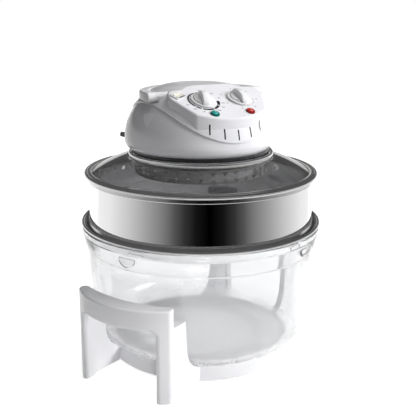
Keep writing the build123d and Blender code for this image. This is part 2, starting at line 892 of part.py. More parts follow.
tube_start = 90 + tube_gap_angle / 2
tube_axis = Plane.XZ.rotated((0, 0, tube_start))

with BuildPart() as halogen_tube:
    with BuildSketch(tube_axis):
        with Locations((tube_ring_radius, tube_height)):
            Circle(tube_radius)
    revolve(axis=Axis.Z, revolution_arc=360 - tube_gap_angle)
finish(halogen_tube.part, "halogen_tube", lid_turn)

with BuildPart() as tube_holders:
    pan_ceiling = plate_bottom - pan_sheet
    with BuildSketch(Plane.XY.offset(pan_ceiling)):
        for end in (-1, 1):
            with PolarLocations(tube_ring_radius, 1, 90 + end * tube_gap_angle / 2):
                Rectangle(holder_width, holder_length)
    extrude(amount=tube_height - holder_drop - pan_ceiling)
    fillet(tube_holders.edges().filter_by(Axis.Z), holder_round)
    # Sockets for the ends of the tube
    with BuildSketch(tube_axis):
        with Locations((tube_ring_radius, tube_height)):
            Circle(tube_radius + part_gap)
    revolve(axis=Axis.Z, revolution_arc=360 - tube_gap_angle, mode=Mode.SUBTRACT)
finish(tube_holders.part, "tube_holders", lid_turn)

# ---------------------------------------------------------------- fan in the cooking chamber

with BuildPart() as circulation_fan:
    disc_z = fan_bottom + fan_blade_height
    with BuildSketch(Plane.XY.offset(disc_z)):
        Circle(fan_radius)
    extrude(amount=fan_sheet)
    # Bowed blades below the disc
    with BuildSketch(Plane.XY.offset(disc_z)):
        with PolarLocations(0, fan_blade_count):
            with BuildLine():
                blade_middle = ((fan_blade_inner + fan_radius) / 2, fan_blade_bow)
                ThreePointArc((fan_blade_inner, 0), blade_middle, (fan_radius - fan_sheet, 0))
                offset(amount=fan_sheet / 2)
            make_face()
    extrude(amount=-fan_blade_height)
    with BuildSketch(Plane.XY.offset(fan_bottom)):
        Circle(fan_hub_radius)
    extrude(amount=fan_hub_height)
    with BuildSketch(Plane.XY.offset(fan_bottom)):
        Circle(shaft_radius + part_gap)
    extrude(amount=fan_hub_height, mode=Mode.SUBTRACT)
finish(circulation_fan.part, "circulation_fan", lid_turn)

with BuildPart() as fan_nut:
    with BuildSketch(Plane.XY.offset(fan_bottom)):
        RegularPolygon(fan_nut_radius, 6)
        Circle(shaft_radius + part_gap, mode=Mode.SUBTRACT)
    extrude(amount=-fan_nut_height)
finish(fan_nut.part, "fan_nut", lid_turn)

with BuildPart() as fan_shaft:
    with BuildSketch(Plane.XY.offset(shaft_bottom)):
        Circle(shaft_radius)
    extrude(amount=shaft_top - shaft_bottom)
    chamfer(fan_shaft.edges(), shaft_chamfer)
finish(fan_shaft.part, "fan_shaft", lid_turn)

# ---------------------------------------------------------------- motor

window_y = motor_setback + motor_size / 2 - motor_core - motor_window
core_y = motor_setback + (motor_size - motor_core) / 2
lower_bearing_z = bracket_top - bracket_sheet
upper_bearing_z = stator_top + bracket_sheet - bearing_height

with BuildPart() as motor_stator:
    with BuildSketch(Plane.XY.offset(bracket_top)) as laminations:
        with Locations((0, motor_setback)):
            Rectangle(motor_size, motor_size)
        fillet(laminations.vertices(), motor_corner)
        Circle(motor_bore, mode=Mode.SUBTRACT)
        with Locations((0, window_y + motor_window / 2)):
            Rectangle(coil_width + 2 * coil_build, motor_window, mode=Mode.SUBTRACT)
    extrude(amount=motor_height)
finish(motor_stator.part, "motor_stator", lid_turn)

with BuildPart() as motor_coil:
    with BuildSketch(Plane.YZ.offset(-coil_width / 2)) as winding:
        with Locations((core_y, (bracket_top + stator_top) / 2)):
            Rectangle(motor_core + 2 * coil_build, motor_height + 2 * coil_build)
        fillet(winding.vertices(), coil_build / 2)
        with Locations((core_y, (bracket_top + stator_top) / 2)):
            Rectangle(motor_core + 2 * part_gap, motor_height + 2 * part_gap, mode=Mode.SUBTRACT)
    extrude(amount=coil_width)
finish(motor_coil.part, "motor_coil", lid_turn)

with BuildPart() as motor_rotor:
    with BuildSketch(Plane.XY.offset((bracket_top + stator_top - rotor_height) / 2)):
        Circle(rotor_radius)
        Circle(shaft_radius + part_gap, mode=Mode.SUBTRACT)
    extrude(amount=rotor_height)
finish(motor_rotor.part, "motor_rotor", lid_turn)

with BuildPart() as motor_bearings:
    for bearing_z in (lower_bearing_z, upper_bearing_z):
        with BuildSketch(Plane.XY.offset(bearing_z)):
            Circle(bearing_radius)
            Circle(shaft_radius + part_gap, mode=Mode.SUBTRACT)
        extrude(amount=bearing_height)
finish(motor_bearings.part, "motor_bearings", lid_turn)

with BuildPart() as motor_bracket:
    # Raised plate on two feet that stand on the base plate
    with BuildSketch(Plane.XZ.offset(-bracket_width / 2)):
        with BuildLine():
            FilletPolyline(
                (-bracket_length / 2, plate_top + bracket_sheet / 2),
                (bracket_foot - bracket_length / 2, plate_top + bracket_sheet / 2),
                (bracket_foot - bracket_length / 2, bracket_top - bracket_sheet / 2),
                (bracket_length / 2 - bracket_foot, bracket_top - bracket_sheet / 2),
                (bracket_length / 2 - bracket_foot, plate_top + bracket_sheet / 2),
                (bracket_length / 2, plate_top + bracket_sheet / 2),
                radius=bracket_sheet,
            )
            offset(amount=bracket_sheet / 2)
        make_face()
    extrude(amount=bracket_width)
    with BuildSketch(Plane.XY.offset(bracket_top)):
        Circle(bearing_radius + part_gap)
    extrude(amount=-2 * bracket_sheet, mode=Mode.SUBTRACT)
finish(motor_bracket.part, "motor_bracket", lid_turn)

with BuildPart() as bearing_bridge:
    with BuildSketch(Plane.XY.offset(stator_top)):
        SlotOverall(bridge_length, bridge_width)
        Circle(bearing_radius + part_gap, mode=Mode.SUBTRACT)
    extrude(amount=bracket_sheet)
finish(bearing_bridge.part, "bearing_bridge", lid_turn)

with BuildPart() as cooling_blade:
    with BuildSketch(Plane.YZ.offset(cooling_hub_radius / 2).rotated((cooling_blade_pitch, 0, 0))):
        Rectangle(cooling_fan_height / sin(radians(cooling_blade_pitch)) / 2, cooling_blade_thickness)
    extrude(amount=cooling_fan_radius)

with BuildPart() as cooling_fan:
    fan_middle = cooling_fan_bottom + cooling_fan_height / 2
    with Locations(Plane.XY.offset(fan_middle)):
        with PolarLocations(0, cooling_blades):
            add(cooling_blade.part)
    with BuildSketch(Plane.XY.offset(cooling_fan_bottom)):
        Circle(cooling_fan_radius)
    extrude(amount=cooling_fan_height, mode=Mode.INTERSECT)
    with BuildSketch(Plane.XY.offset(cooling_fan_bottom)):
        Circle(cooling_hub_radius)
    extrude(amount=cooling_fan_height)
    with BuildSketch(Plane.XY.offset(cooling_fan_bottom)):
        Circle(shaft_radius + part_gap)
    extrude(amount=cooling_fan_height, mode=Mode.SUBTRACT)
finish(cooling_fan.part, "cooling_fan", lid_turn)

# ---------------------------------------------------------------- on the base plate

with BuildPart() as thermal_cutout:
    with BuildSketch(Plane.XY.offset(plate_top)):
        with Locations(cutout_spot):
            Circle(cutout_radius)
    extrude(amount=cutout_height)
    fillet(thermal_cutout.edges().group_by(Axis.Z)[-1], cutout_round)
finish(thermal_cutout.part, "thermal_cutout", lid_turn)

with BuildPart() as terminal_block:
    with BuildSketch(Plane.XY.offset(plate_top)):
        with Locations(terminal_spot):
            Rectangle(terminal_size[0], terminal_size[1])
    extrude(amount=terminal_size[2])
    with BuildSketch(Plane.XY.offset(plate_top + terminal_size[2])):
        with Locations(terminal_spot):
            with GridLocations(terminal_size[0] / terminal_ways, 0, terminal_ways, 1):
                Circle(terminal_hole_radius)
    extrude(amount=-terminal_size[2] / 2, mode=Mode.SUBTRACT)
finish(terminal_block.part, "terminal_block", lid_turn)

# ---------------------------------------------------------------- head housing

gusset_end = head_foot_radius + housing_wall / 2
gland_ray = Vector(sin(radians(gland_turn)), -cos(radians(gland_turn)), 0)
gland_start = gland_ray * gland_root[0] + Vector(0, 0, gland_root[1])
gland_end = gland_ray * gland_tip[0] + Vector(0, 0, gland_tip[1])
gland_length = (gland_end - gland_start).length
gland_plane = Plane(origin=gland_start, z_dir=gland_end - gland_start)

with BuildPart() as lower_housing:
    add(crown_profile(0))
    revolve(axis=head_axis)
    add(crown_profile(-housing_wall))
    revolve(axis=head_axis, mode=Mode.SUBTRACT)
    # Upper edge: the cover's cylinder less the lap, and level where the bail handle's track is
    with BuildSketch(saddle_plane):
        with Locations((0, saddle_height)):
            Circle(saddle_radius - cover_lap)
        with Locations((0, track_floor - cover_wall - part_gap + head_radius)):
            Rectangle(4 * head_radius, 2 * head_radius)
    extrude(amount=4 * head_radius, mode=Mode.SUBTRACT)
    # Bosses on gussets, for the screws that come up through the base plate
    with BuildSketch(Plane.XY.offset(head_foot + housing_gusset_lift)):
        with Locations((0, head_setback)):
            with PolarLocations((housing_screw_circle + gusset_end) / 2, housing_screw_count, housing_screw_turn):
                Rectangle(gusset_end - housing_screw_circle, housing_gusset)
    extrude(amount=housing_gusset_height)
    with BuildSketch(Plane.XY.offset(head_foot)):
        with Locations((0, head_setback)):
            with PolarLocations(housing_screw_circle, housing_screw_count, housing_screw_turn):
                Circle(housing_boss_radius)
    extrude(amount=housing_boss_height)
    with BuildSketch(Plane.XY.offset(head_foot)):
        with Locations((0, head_setback)):
            with PolarLocations(housing_screw_circle, housing_screw_count, housing_screw_turn):
                Circle(housing_screw_radius + part_gap)
    extrude(amount=housing_boss_height, mode=Mode.SUBTRACT)
    # Hole for the cord gland
    with BuildSketch(gland_plane):
        Circle(gland_radius + part_gap)
    extrude(amount=gland_length, mode=Mode.SUBTRACT)
finish(lower_housing.part, "lower_housing", lid_turn)

with BuildPart() as housing_screws:
    for shank_z, shank_radius, shank_length in (
        (plate_bottom, housing_screw_head, screw_head_thickness),
        (plate_bottom + screw_head_thickness, housing_screw_radius, housing_screw_length),
    ):
        with BuildSketch(Plane.XY.offset(shank_z)):
            with Locations((0, head_setback)):
                with PolarLocations(housing_screw_circle, housing_screw_count, housing_screw_turn):
                    Circle(shank_radius)
        extrude(amount=shank_length)
finish(housing_screws.part, "housing_screws", lid_turn)

# ---------------------------------------------------------------- cover with the control panel

panel_body = raised_panel(0, 0, panel_edge)
panel_hollow = raised_panel(panel_wall, panel_wall, panel_edge - panel_wall)
boss_length = bail_inner_radius - bail_hub_gap - boss_root
knob_x = knob_spacing / 2
lamp_x = lamp_spacing / 2
plunger_hole = plunger_radius + slide_gap
switch_x = interlock_spot[0] + interlock_offset
switch_top = track_floor - cover_wall - interlock_drop

# The space inside the cover
with BuildPart() as cover_hollow:
    add(crown_profile(part_gap))
    revolve(axis=head_axis)
    split(bisect_by=panel_spot(0, panel_mark_y, -panel_wall), keep=Keep.BOTTOM)
    add(panel_hollow.part)
    with BuildSketch(Plane.XY.offset(track_floor - cover_wall)):
        add(track_profile(track_radius - cover_wall))
    extrude(amount=head_radius, mode=Mode.SUBTRACT)

with BuildPart() as control_cover:
    add(crown_profile(cover_proud))
    revolve(axis=head_axis)
    split(bisect_by=panel_spot(0, panel_mark_y), keep=Keep.BOTTOM)
    add(panel_body.part)
    # Track that the lowered bail handle lies in
    with BuildSketch(Plane.XY.offset(track_floor)):
        add(track_profile(track_radius))
    extrude(amount=head_radius, mode=Mode.SUBTRACT)
    add(cover_hollow.part, mode=Mode.SUBTRACT)
    with BuildSketch(saddle_plane):
        with Locations((0, saddle_height)):
            Circle(saddle_radius)
    extrude(amount=4 * head_radius, mode=Mode.INTERSECT)
    # Bosses for the pivots of the bail handle
    for side in (-1, 1):
        with BuildSketch(Plane.YZ.offset(side * boss_root)):
            with Locations((bail_pivot_y, bail_pivot_z)):
                Circle(bail_hub_radius)
        extrude(amount=side * boss_length)
        with BuildSketch(Plane.YZ.offset(side * boss_root)):
            with Locations((bail_pivot_y, bail_pivot_z)):
                Circle(pin_radius + part_gap)
        extrude(amount=side * boss_length, mode=Mode.SUBTRACT)
    # Posts that the interlock switch hangs on, and the hole for its plunger
    with BuildSketch(Plane.XY.offset(switch_top)):
        with Locations((switch_x, interlock_spot[1])):
            with GridLocations(0, interlock_size[1] - interlock_post, 1, 2):
                Rectangle(interlock_size[0] / 2, interlock_post)
    extrude(amount=interlock_drop + cover_wall / 2)
    with BuildSketch(Plane.XY.offset(switch_top)):
        with Locations(interlock_spot):
            Circle(plunger_hole)
    extrude(amount=bail_thickness, mode=Mode.SUBTRACT)
    # Vent slits across the front
    for step in range(slit_count):
        place = step - (slit_count - 1) / 2
        angle = radians(place * slit_turn)
        slit_z = slit_centre + slit_rise * place**2
        ray = Vector(sin(angle), -cos(angle), 0)
        slit_plane = Plane(
            origin=Vector(0, head_setback, slit_z) + ray * (saddle_radius - cover_lap),
            x_dir=(0, 0, 1),
            z_dir=ray,
        )
        with BuildSketch(slit_plane):
            SlotOverall(slit_height, slit_width)
        extrude(amount=head_radius / 4, mode=Mode.SUBTRACT)
    # Holes in the panel
    for x, y, radius in (
        (-knob_x, knob_row_y, spindle_radius + run_gap),
        (knob_x, knob_row_y, spindle_radius + run_gap),
        (-lamp_x, lamp_row_y, lamp_barrel + part_gap),
        (lamp_x, lamp_row_y, lamp_barrel + part_gap),
    ):
        with BuildSketch(panel_spot(x, y, -panel_wall)):
            Circle(radius)
        extrude(amount=2 * panel_wall, mode=Mode.SUBTRACT)
    with BuildSketch(panel_spot(*rocker_spot, -panel_wall, rocker_turn)):
        Rectangle(
            rocker_bezel[0] - 2 * rocker_bezel_border + 2 * rocker_wall + 2 * part_gap,
            rocker_bezel[1] - 2 * rocker_bezel_border + 2 * rocker_wall + 2 * part_gap,
        )
    extrude(amount=2 * panel_wall, mode=Mode.SUBTRACT)
finish(control_cover.part, "control_cover", lid_turn)

# ---------------------------------------------------------------- bail handle

with BuildPart() as bail_handle:
    # Half ring round the back of the head, lying flat
    with BuildSketch(Plane.XY.offset(bail_pivot_z - bail_thickness / 2)):
        with Locations((0, bail_pivot_y)):
            Circle(bail_radius)
            Circle(bail_inner_radius, mode=Mode.SUBTRACT)
        with Locations((0, bail_pivot_y - bail_radius)):
            Rectangle(2 * bail_radius, 2 * bail_radius, mode=Mode.SUBTRACT)
    extrude(amount=bail_thickness)
    fillet(bail_handle.edges().filter_by(GeomType.CIRCLE), bail_round)
    # Hubs at its ends, each with a blind bore for its pin
    for side in (-1, 1):
        with BuildSketch(Plane.YZ.offset(side * bail_inner_radius)):
            with Locations((bail_pivot_y, bail_pivot_z)):
                Circle(bail_hub_radius)
        extrude(amount=side * bail_width)
    fillet(bail_handle.faces().sort_by(Axis.X)[0].edges(), bail_round / 2)
    fillet(bail_handle.faces().sort_by(Axis.X)[-1].edges(), bail_round / 2)
    for side in (-1, 1):
        with BuildSketch(Plane.YZ.offset(side * boss_root)):
            with Locations((bail_pivot_y, bail_pivot_z)):
                Circle(bail_hub_radius + slide_gap)
        extrude(amount=side * (bail_inner_radius - boss_root), mode=Mode.SUBTRACT)
        with BuildSketch(Plane.YZ.offset(side * boss_root)):
            with Locations((bail_pivot_y, bail_pivot_z)):
                Circle(pin_radius + part_gap)
        extrude(amount=side * (bail_radius - pin_inset + part_gap - boss_root), mode=Mode.SUBTRACT)
finish(bail_handle.part, "bail_handle", lid_turn)

with BuildPart() as pivot_pins:
    for side in (-1, 1):
        with BuildSketch(Plane.YZ.offset(side * (bail_radius - pin_inset))):
            with Locations((bail_pivot_y, bail_pivot_z)):
                Circle(pin_radius)
        extrude(amount=-side * pin_length)
    chamfer(pivot_pins.edges(), part_gap)
finish(pivot_pins.part, "pivot_pins", lid_turn)

# ---------------------------------------------------------------- interlock

plunger_top = bail_pivot_z - bail_thickness / 2 - part_gap

with BuildPart() as interlock_switch:
    with BuildSketch(Plane.XY.offset(switch_top)):
        with Locations((switch_x, interlock_spot[1])):
            Rectangle(interlock_size[0], interlock_size[1])
    extrude(amount=-interlock_size[2])
    with BuildSketch(Plane.XY.offset(switch_top)):
        with Locations(interlock_spot):
            Circle(plunger_hole)
    extrude(amount=plunger_top - plunger_length - plunger_stroke - slide_gap - switch_top, mode=Mode.SUBTRACT)
finish(interlock_switch.part, "interlock_switch", lid_turn)

with BuildPart() as interlock_plunger:
    with BuildSketch(Plane.XY.offset(plunger_top)):
        with Locations(interlock_spot):
            Circle(plunger_radius)
    extrude(amount=-plunger_length)
    fillet(interlock_plunger.edges().group_by(Axis.Z)[-1], plunger_radius / 2)
finish(interlock_plunger.part, "interlock_plunger", lid_turn)

# ---------------------------------------------------------------- knobs

for side, control, rest in ((-1, "thermostat", thermostat_rest), (1, "timer", 0)):
    spot_x = side * knob_x

    with BuildPart() as knob:
        with BuildSketch(panel_spot(spot_x, knob_row_y, knob_float)):
            Circle(knob_radius)
        extrude(amount=knob_disc, taper=knob_draft)
        with BuildSketch(panel_spot(spot_x, knob_row_y, knob_float + knob_disc / 2)):
            SlotOverall(knob_grip_length, knob_grip_width, rotation=90 + rest)
        extrude(amount=knob_height - knob_disc / 2, taper=knob_draft)
        spot = panel_spot(spot_x, knob_row_y)
        top_edges = knob.edges().sort_by(Axis(spot.origin, spot.z_dir))[-4:]
        fillet(top_edges, knob_round)
        with BuildSketch(panel_spot(spot_x, knob_row_y, knob_float)):
            Circle(spindle_radius + part_gap)
        extrude(amount=knob_bore_depth, mode=Mode.SUBTRACT)
    finish(knob.part, f"{control}_knob", lid_turn)

    with BuildPart() as spindle:
        with BuildSketch(panel_spot(spot_x, knob_row_y, knob_float + knob_bore_depth - part_gap)):
            Circle(spindle_radius)
        extrude(amount=-spindle_length)
    finish(spindle.part, f"{control}_shaft", lid_turn)

socket_depth = spindle_length - knob_float - knob_bore_depth + part_gap + slide_gap

with BuildPart() as thermostat_body:
    with BuildSketch(panel_spot(-knob_x, knob_row_y, -panel_wall)):
        RectangleRounded(thermostat_size[0], thermostat_size[1], thermostat_corner)
    extrude(amount=-thermostat_size[2])
    with BuildSketch(panel_spot(-knob_x, knob_row_y)):
        Circle(spindle_radius + slide_gap)
    extrude(amount=-socket_depth, mode=Mode.SUBTRACT)
finish(thermostat_body.part, "thermostat_body", lid_turn)

with BuildPart() as timer_body:
    with BuildSketch(panel_spot(knob_x, knob_row_y, -panel_wall)):
        Circle(timer_radius)
    extrude(amount=-timer_depth)
    with BuildSketch(panel_spot(knob_x, knob_row_y)):
        Circle(spindle_radius + slide_gap)
    extrude(amount=-socket_depth, mode=Mode.SUBTRACT)
finish(timer_body.part, "timer_body", lid_turn)

# ---------------------------------------------------------------- signal lamps

for side, tint in ((-1, "green"), (1, "red")):
    with BuildPart() as lens:
        with BuildSketch(panel_spot(side * lamp_x, lamp_row_y)):
            Circle(lamp_radius)
        extrude(amount=lamp_dome)
        spot = panel_spot(side * lamp_x, lamp_row_y)
        fillet(lens.edges().sort_by(Axis(spot.origin, spot.z_dir))[-1], lamp_round)
        with BuildSketch(spot):
            Circle(lamp_barrel)
        extrude(amount=-lamp_depth)
    finish(lens.part, f"{tint}_lens", lid_turn)

with BuildPart() as neon_lamps:
    for side in (-1, 1):
        with BuildSketch(panel_spot(side * lamp_x, lamp_row_y, -lamp_depth)):
            Circle(neon_radius)
        extrude(amount=-neon_length)
finish(neon_lamps.part, "neon_lamps", lid_turn)

# ---------------------------------------------------------------- rocker switch

rocker_opening = (rocker_bezel[0] - 2 * rocker_bezel_border, rocker_bezel[1] - 2 * rocker_bezel_border)
rocker_length = rocker_opening[0] - 2 * run_gap
rocker_place = panel_spot(*rocker_spot, 0, rocker_turn)
rocker_section = Plane(origin=rocker_place.origin, x_dir=rocker_place.y_dir, z_dir=rocker_place.x_dir)

with BuildPart() as rocker_frame:
    with BuildSketch(rocker_place):
        RectangleRounded(rocker_bezel[0], rocker_bezel[1], rocker_bezel_border)
    extrude(amount=rocker_bezel_height, taper=2 * knob_draft)
    with BuildSketch(rocker_place):
        Rectangle(rocker_opening[0] + 2 * rocker_wall, rocker_opening[1] + 2 * rocker_wall)
    extrude(amount=-rocker_depth)
    with BuildSketch(rocker_place.offset(rocker_bezel_height)):
        Rectangle(*rocker_opening)
    extrude(amount=rocker_wall - rocker_depth - rocker_bezel_height, mode=Mode.SUBTRACT)
    # Holes for the rocker's pivots
    with BuildSketch(rocker_section.offset(-rocker_bezel[0])):
        with Locations((0, -rocker_pivot_drop)):
            Circle(rocker_pin_radius + part_gap)
    extrude(amount=2 * rocker_bezel[0], mode=Mode.SUBTRACT)
finish(rocker_frame.part, "rocker_frame", lid_turn)

with BuildPart() as rocker_switch:
    # Vee-topped section, tipped back on its pivot
    with BuildSketch(rocker_section.offset(-rocker_length / 2)):
        with Locations((0, -rocker_pivot_drop)):
            with Locations(Rotation(0, 0, rocker_throw / 2)):
                Polygon(
                    (-rocker_half_width, rocker_crest + rocker_pivot_drop),
                    (-rocker_keel_half, -rocker_keel),
                    (rocker_keel_half, -rocker_keel),
                    (rocker_half_width, rocker_crest + rocker_pivot_drop),
                    (0, rocker_valley + rocker_pivot_drop),
                    align=None,
                )
    extrude(amount=rocker_length)
    with BuildSketch(rocker_section.offset(-rocker_opening[0] / 2 - rocker_wall + part_gap)):
        with Locations((0, -rocker_pivot_drop)):
            Circle(rocker_pin_radius)
    extrude(amount=rocker_opening[0] + 2 * rocker_wall - 2 * part_gap)
finish(rocker_switch.part, "rocker_switch", lid_turn)

# ---------------------------------------------------------------- cord gland

with BuildPart() as cord_gland:
    # Collar outside the wall, fitted to its curve
    with BuildSketch(gland_plane.offset(gland_flange[0])):
        Circle(gland_flange_radius)
    extrude(amount=gland_flange[1] - gland_flange[0])
    add(crown_profile(part_gap))
    revolve(axis=head_axis, mode=Mode.SUBTRACT)
    # Tapered boot through the wall
    with BuildSketch(gland_plane):
        Circle(gland_radius)
    with BuildSketch(gland_plane.offset(gland_length)):
        Circle(gland_tip_radius)
    loft()
    with BuildSketch(gland_plane):
        Circle(gland_bore)
    extrude(amount=gland_length, mode=Mode.SUBTRACT)
finish(cord_gland.part, "cord_gland", lid_turn)
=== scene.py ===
# %% [markdown]
# # A halogen oven, dressed for its picture
# A halogen oven is a glass bowl on a low stand. A steel ring sits on the bowl's lip, and a glass
# lid with the heater, a fan and two dials closes it. The solids come from CAD, and this lesson
# leaves their shapes alone. It gives them their finishes, adds the prints, wires and fine marks
# that are too small for CAD, and lights the whole.
#
# The first step loads the solids. Each is one object, in metres, already in its place.

# %% Load the oven
from math import atan2, cos, pi, radians, sin

import bmesh
import bpy
from mathutils import Matrix, Vector
from mathutils.bvhtree import BVHTree


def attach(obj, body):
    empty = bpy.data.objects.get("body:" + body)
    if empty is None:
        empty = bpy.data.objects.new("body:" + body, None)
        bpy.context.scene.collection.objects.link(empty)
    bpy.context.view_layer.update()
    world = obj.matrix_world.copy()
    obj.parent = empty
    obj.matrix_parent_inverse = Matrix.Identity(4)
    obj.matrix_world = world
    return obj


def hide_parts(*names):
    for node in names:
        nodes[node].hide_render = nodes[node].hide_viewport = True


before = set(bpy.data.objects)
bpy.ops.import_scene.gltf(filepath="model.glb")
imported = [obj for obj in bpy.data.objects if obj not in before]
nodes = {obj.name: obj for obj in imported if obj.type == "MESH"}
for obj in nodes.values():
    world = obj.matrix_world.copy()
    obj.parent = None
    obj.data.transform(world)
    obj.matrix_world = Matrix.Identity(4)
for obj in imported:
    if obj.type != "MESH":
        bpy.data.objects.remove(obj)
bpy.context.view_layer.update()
MM = 0.001

# %% [markdown]
# ## Camera
# The oven is seen from a little above, about 15 degrees down, and from its left front corner, so
# that a side handle points at the viewer. A long lens keeps the uprights of the bowl straight.
# The camera could be aimed with a Track To constraint, but three plain turns are easier to read:
# tip it down, turn it round the oven, and roll it by a third of a degree.

# %% Camera
camera_spot = Vector((-879.8, -593.4, 491.4)) * MM
camera_bearing = radians(-56.5606)
camera_tip = radians(74.995)
camera_roll = radians(0.3478)
camera_data = bpy.data.cameras.new("camera")
camera_data.lens = 66.56
camera_data.sensor_width = 36.0
camera = bpy.data.objects.new("camera", camera_data)
camera.matrix_world = (
    Matrix.Translation(camera_spot)
    @ Matrix.Rotation(camera_bearing, 4, "Z")
    @ Matrix.Rotation(camera_tip, 4, "X")
    @ Matrix.Rotation(camera_roll, 4, "Z")
)
bpy.context.scene.collection.objects.link(camera)
bpy.context.scene.camera = camera
bpy.context.scene.view_settings.view_transform = "Standard"
print("camera at", [round(v, 3) for v in camera.location])

# %% [markdown]
# ## Finishes start from one shader
# Nearly every finish here is a Principled shader with three kinds of detail: colour that drifts a
# little, gloss that is uneven, and a fine relief. These helpers add them one at a time. All of
# them read Object coordinates, which are the real metres of the oven, so a scale of 1000 means
# a detail about a millimetre wide on every piece.

# %% Helpers for finishes
def new_finish(name, colour, roughness, metallic=0.0):
    """A material with plain values on its Principled shader."""
    material = bpy.data.materials.new(name)
    material.use_nodes = True
    shader = material.node_tree.nodes["Principled BSDF"]
    shader.inputs["Base Color"].default_value = (*colour, 1.0)
    shader.inputs["Roughness"].default_value = roughness
    shader.inputs["Metallic"].default_value = metallic
    return material


def shader_of(material):
    return material.node_tree.nodes["Principled BSDF"]


def node(material, kind, inputs=(), **settings):
    """Add a node; inputs are (socket, value or output) pairs."""
    made = material.node_tree.nodes.new(kind)
    for name, value in settings.items():
        setattr(made, name, value)
    for socket, value in inputs:
        if isinstance(value, bpy.types.NodeSocket):
            material.node_tree.links.new(value, made.inputs[socket])
        else:
            made.inputs[socket].default_value = value
    return made


def place(material, squeeze=(1.0, 1.0, 1.0), turn=0.0, centre=(0.0, 0.0, 0.0)):
    """Object coordinates, moved so that a pattern can be centred, turned or stretched."""
    coordinates = node(material, "ShaderNodeTexCoord").outputs["Object"]
    mapping = node(material, "ShaderNodeMapping", [("Vector", coordinates)], vector_type="TEXTURE")
    mapping.inputs["Location"].default_value = centre
    mapping.inputs["Rotation"].default_value = (0.0, 0.0, turn)
    mapping.inputs["Scale"].default_value = squeeze
    return mapping.outputs["Vector"]


def noise(material, vector, scale, detail=3.0):
    """A cloudy pattern between 0 and 1."""
    inputs = [("Vector", vector), ("Scale", scale), ("Detail", detail)]
    return node(material, "ShaderNodeTexNoise", inputs).outputs["Fac"]


def cells(material, vector, scale):
    """A pattern of cells: the distance from the middle of each."""
    inputs = [("Vector", vector), ("Scale", scale)]
    return node(material, "ShaderNodeTexVoronoi", inputs).outputs["Distance"]


def maths(material, operation, *values):
    return node(material, "ShaderNodeMath", enumerate(values), operation=operation).outputs["Value"]


def length_of(material, vector):
    measured = node(material, "ShaderNodeVectorMath", [(0, vector)], operation="LENGTH")
    return measured.outputs["Value"]


def ranged(material, value, limits, result):
    """A number that runs through the pair result as value runs through the pair limits."""
    inputs = [("Value", value), ("From Min", limits[0]), ("From Max", limits[1])]
    inputs += [("To Min", result[0]), ("To Max", result[1])]
    return node(material, "ShaderNodeMapRange", inputs).outputs["Result"]


def show(material, shader_output):
    """Send a shader straight to the surface, past the Principled one."""
    surface = material.node_tree.nodes["Material Output"].inputs["Surface"]
    material.node_tree.links.new(shader_output, surface)


def drift(material, amount, dark, light, limits=(0.35, 0.65)):
    """Let the colour drift between two shades with a pattern."""
    ramp = node(material, "ShaderNodeValToRGB", [("Fac", amount)])
    ramp.color_ramp.elements[0].position = limits[0]
    ramp.color_ramp.elements[1].position = limits[1]
    ramp.color_ramp.elements[0].color = (*dark, 1.0)
    ramp.color_ramp.elements[1].color = (*light, 1.0)
    material.node_tree.links.new(ramp.outputs["Color"], shader_of(material).inputs["Base Color"])
    return ramp.outputs["Color"]


def sheen_map(material, amount, low, high, limits=(0.3, 0.7)):
    """Let the roughness run between two values with a pattern."""
    spread = ranged(material, amount, limits, (low, high))
    material.node_tree.links.new(spread, shader_of(material).inputs["Roughness"])


def relief(material, height, depth, strength=1.0, under=None):
    """Turn a pattern into relief of a given depth in metres; under is a coarser relief below it."""
    inputs = [("Height", height), ("Strength", strength), ("Distance", depth)]
    bump = node(material, "ShaderNodeBump", inputs)
    if under is not None:
        material.node_tree.links.new(under, bump.inputs["Normal"])
    material.node_tree.links.new(bump.outputs["Normal"], shader_of(material).inputs["Normal"])
    return bump.outputs["Normal"]


# %% [markdown]
# ## Moulded plastic
# The stand, the side handles and the whole head are glossy white mouldings. Real ones are never
# perfectly flat: the skin sinks a little over thick places, the polish of the mould is uneven,
# and hands and dishcloths leave a few dull patches. So each plastic gets a slow sink relief, a
# fine grain, and a roughness that drifts. The same recipe serves the black, grey and cream
# mouldings, so it is one function with a colour and a gloss.

# %% Moulded plastics
def moulded(name, dark, light, gloss, grain=0.00002, coat=0.0):
    material = new_finish(name, light, gloss)
    spot = place(material)
    drift(material, noise(material, spot, scale=14.0), dark, light)
    handled = noise(material, spot, scale=55.0, detail=5.0)
    sheen_map(material, handled, gloss * 0.75, gloss * 1.35)
    sunk = noise(material, spot, scale=24.0, detail=1.0)
    sink = relief(material, sunk, depth=0.0004, strength=0.35)
    skin = noise(material, spot, scale=2600.0, detail=2.0)
    relief(material, skin, depth=grain, strength=0.6, under=sink)
    shader = shader_of(material)
    shader.inputs["IOR"].default_value = 1.5
    shader.inputs["Coat Weight"].default_value = coat
    shader.inputs["Coat Roughness"].default_value = 0.06
    return material


whites = (0.79, 0.79, 0.81), (0.83, 0.83, 0.855)
stand_white = moulded("stand_white_moulding", *whites, 0.2, coat=0.2)
whites = (0.79, 0.79, 0.815), (0.83, 0.83, 0.86)
head_white = moulded("head_white_moulding", *whites, 0.2, coat=0.2)
bail_white = moulded("bail_white_moulding", (0.76, 0.76, 0.77), (0.82, 0.82, 0.83), 0.28)
knob_white = moulded("knob_white_moulding", (0.80, 0.80, 0.81), (0.85, 0.85, 0.86), 0.24, coat=0.2)
nylon_white = moulded("natural_nylon", (0.68, 0.67, 0.61), (0.78, 0.77, 0.71), 0.42, 0.00006)
blacks = (0.018, 0.018, 0.019), (0.03, 0.03, 0.032)
moulded_black = moulded("black_moulding", *blacks, 0.38, 0.00006)
greys = (0.10, 0.10, 0.105), (0.14, 0.14, 0.145)
moulded_grey = moulded("dark_grey_moulding", *greys, 0.42, 0.00006)
cream = moulded("cream_moulding", (0.74, 0.72, 0.64), (0.80, 0.78, 0.71), 0.2)
print("plastics ready")

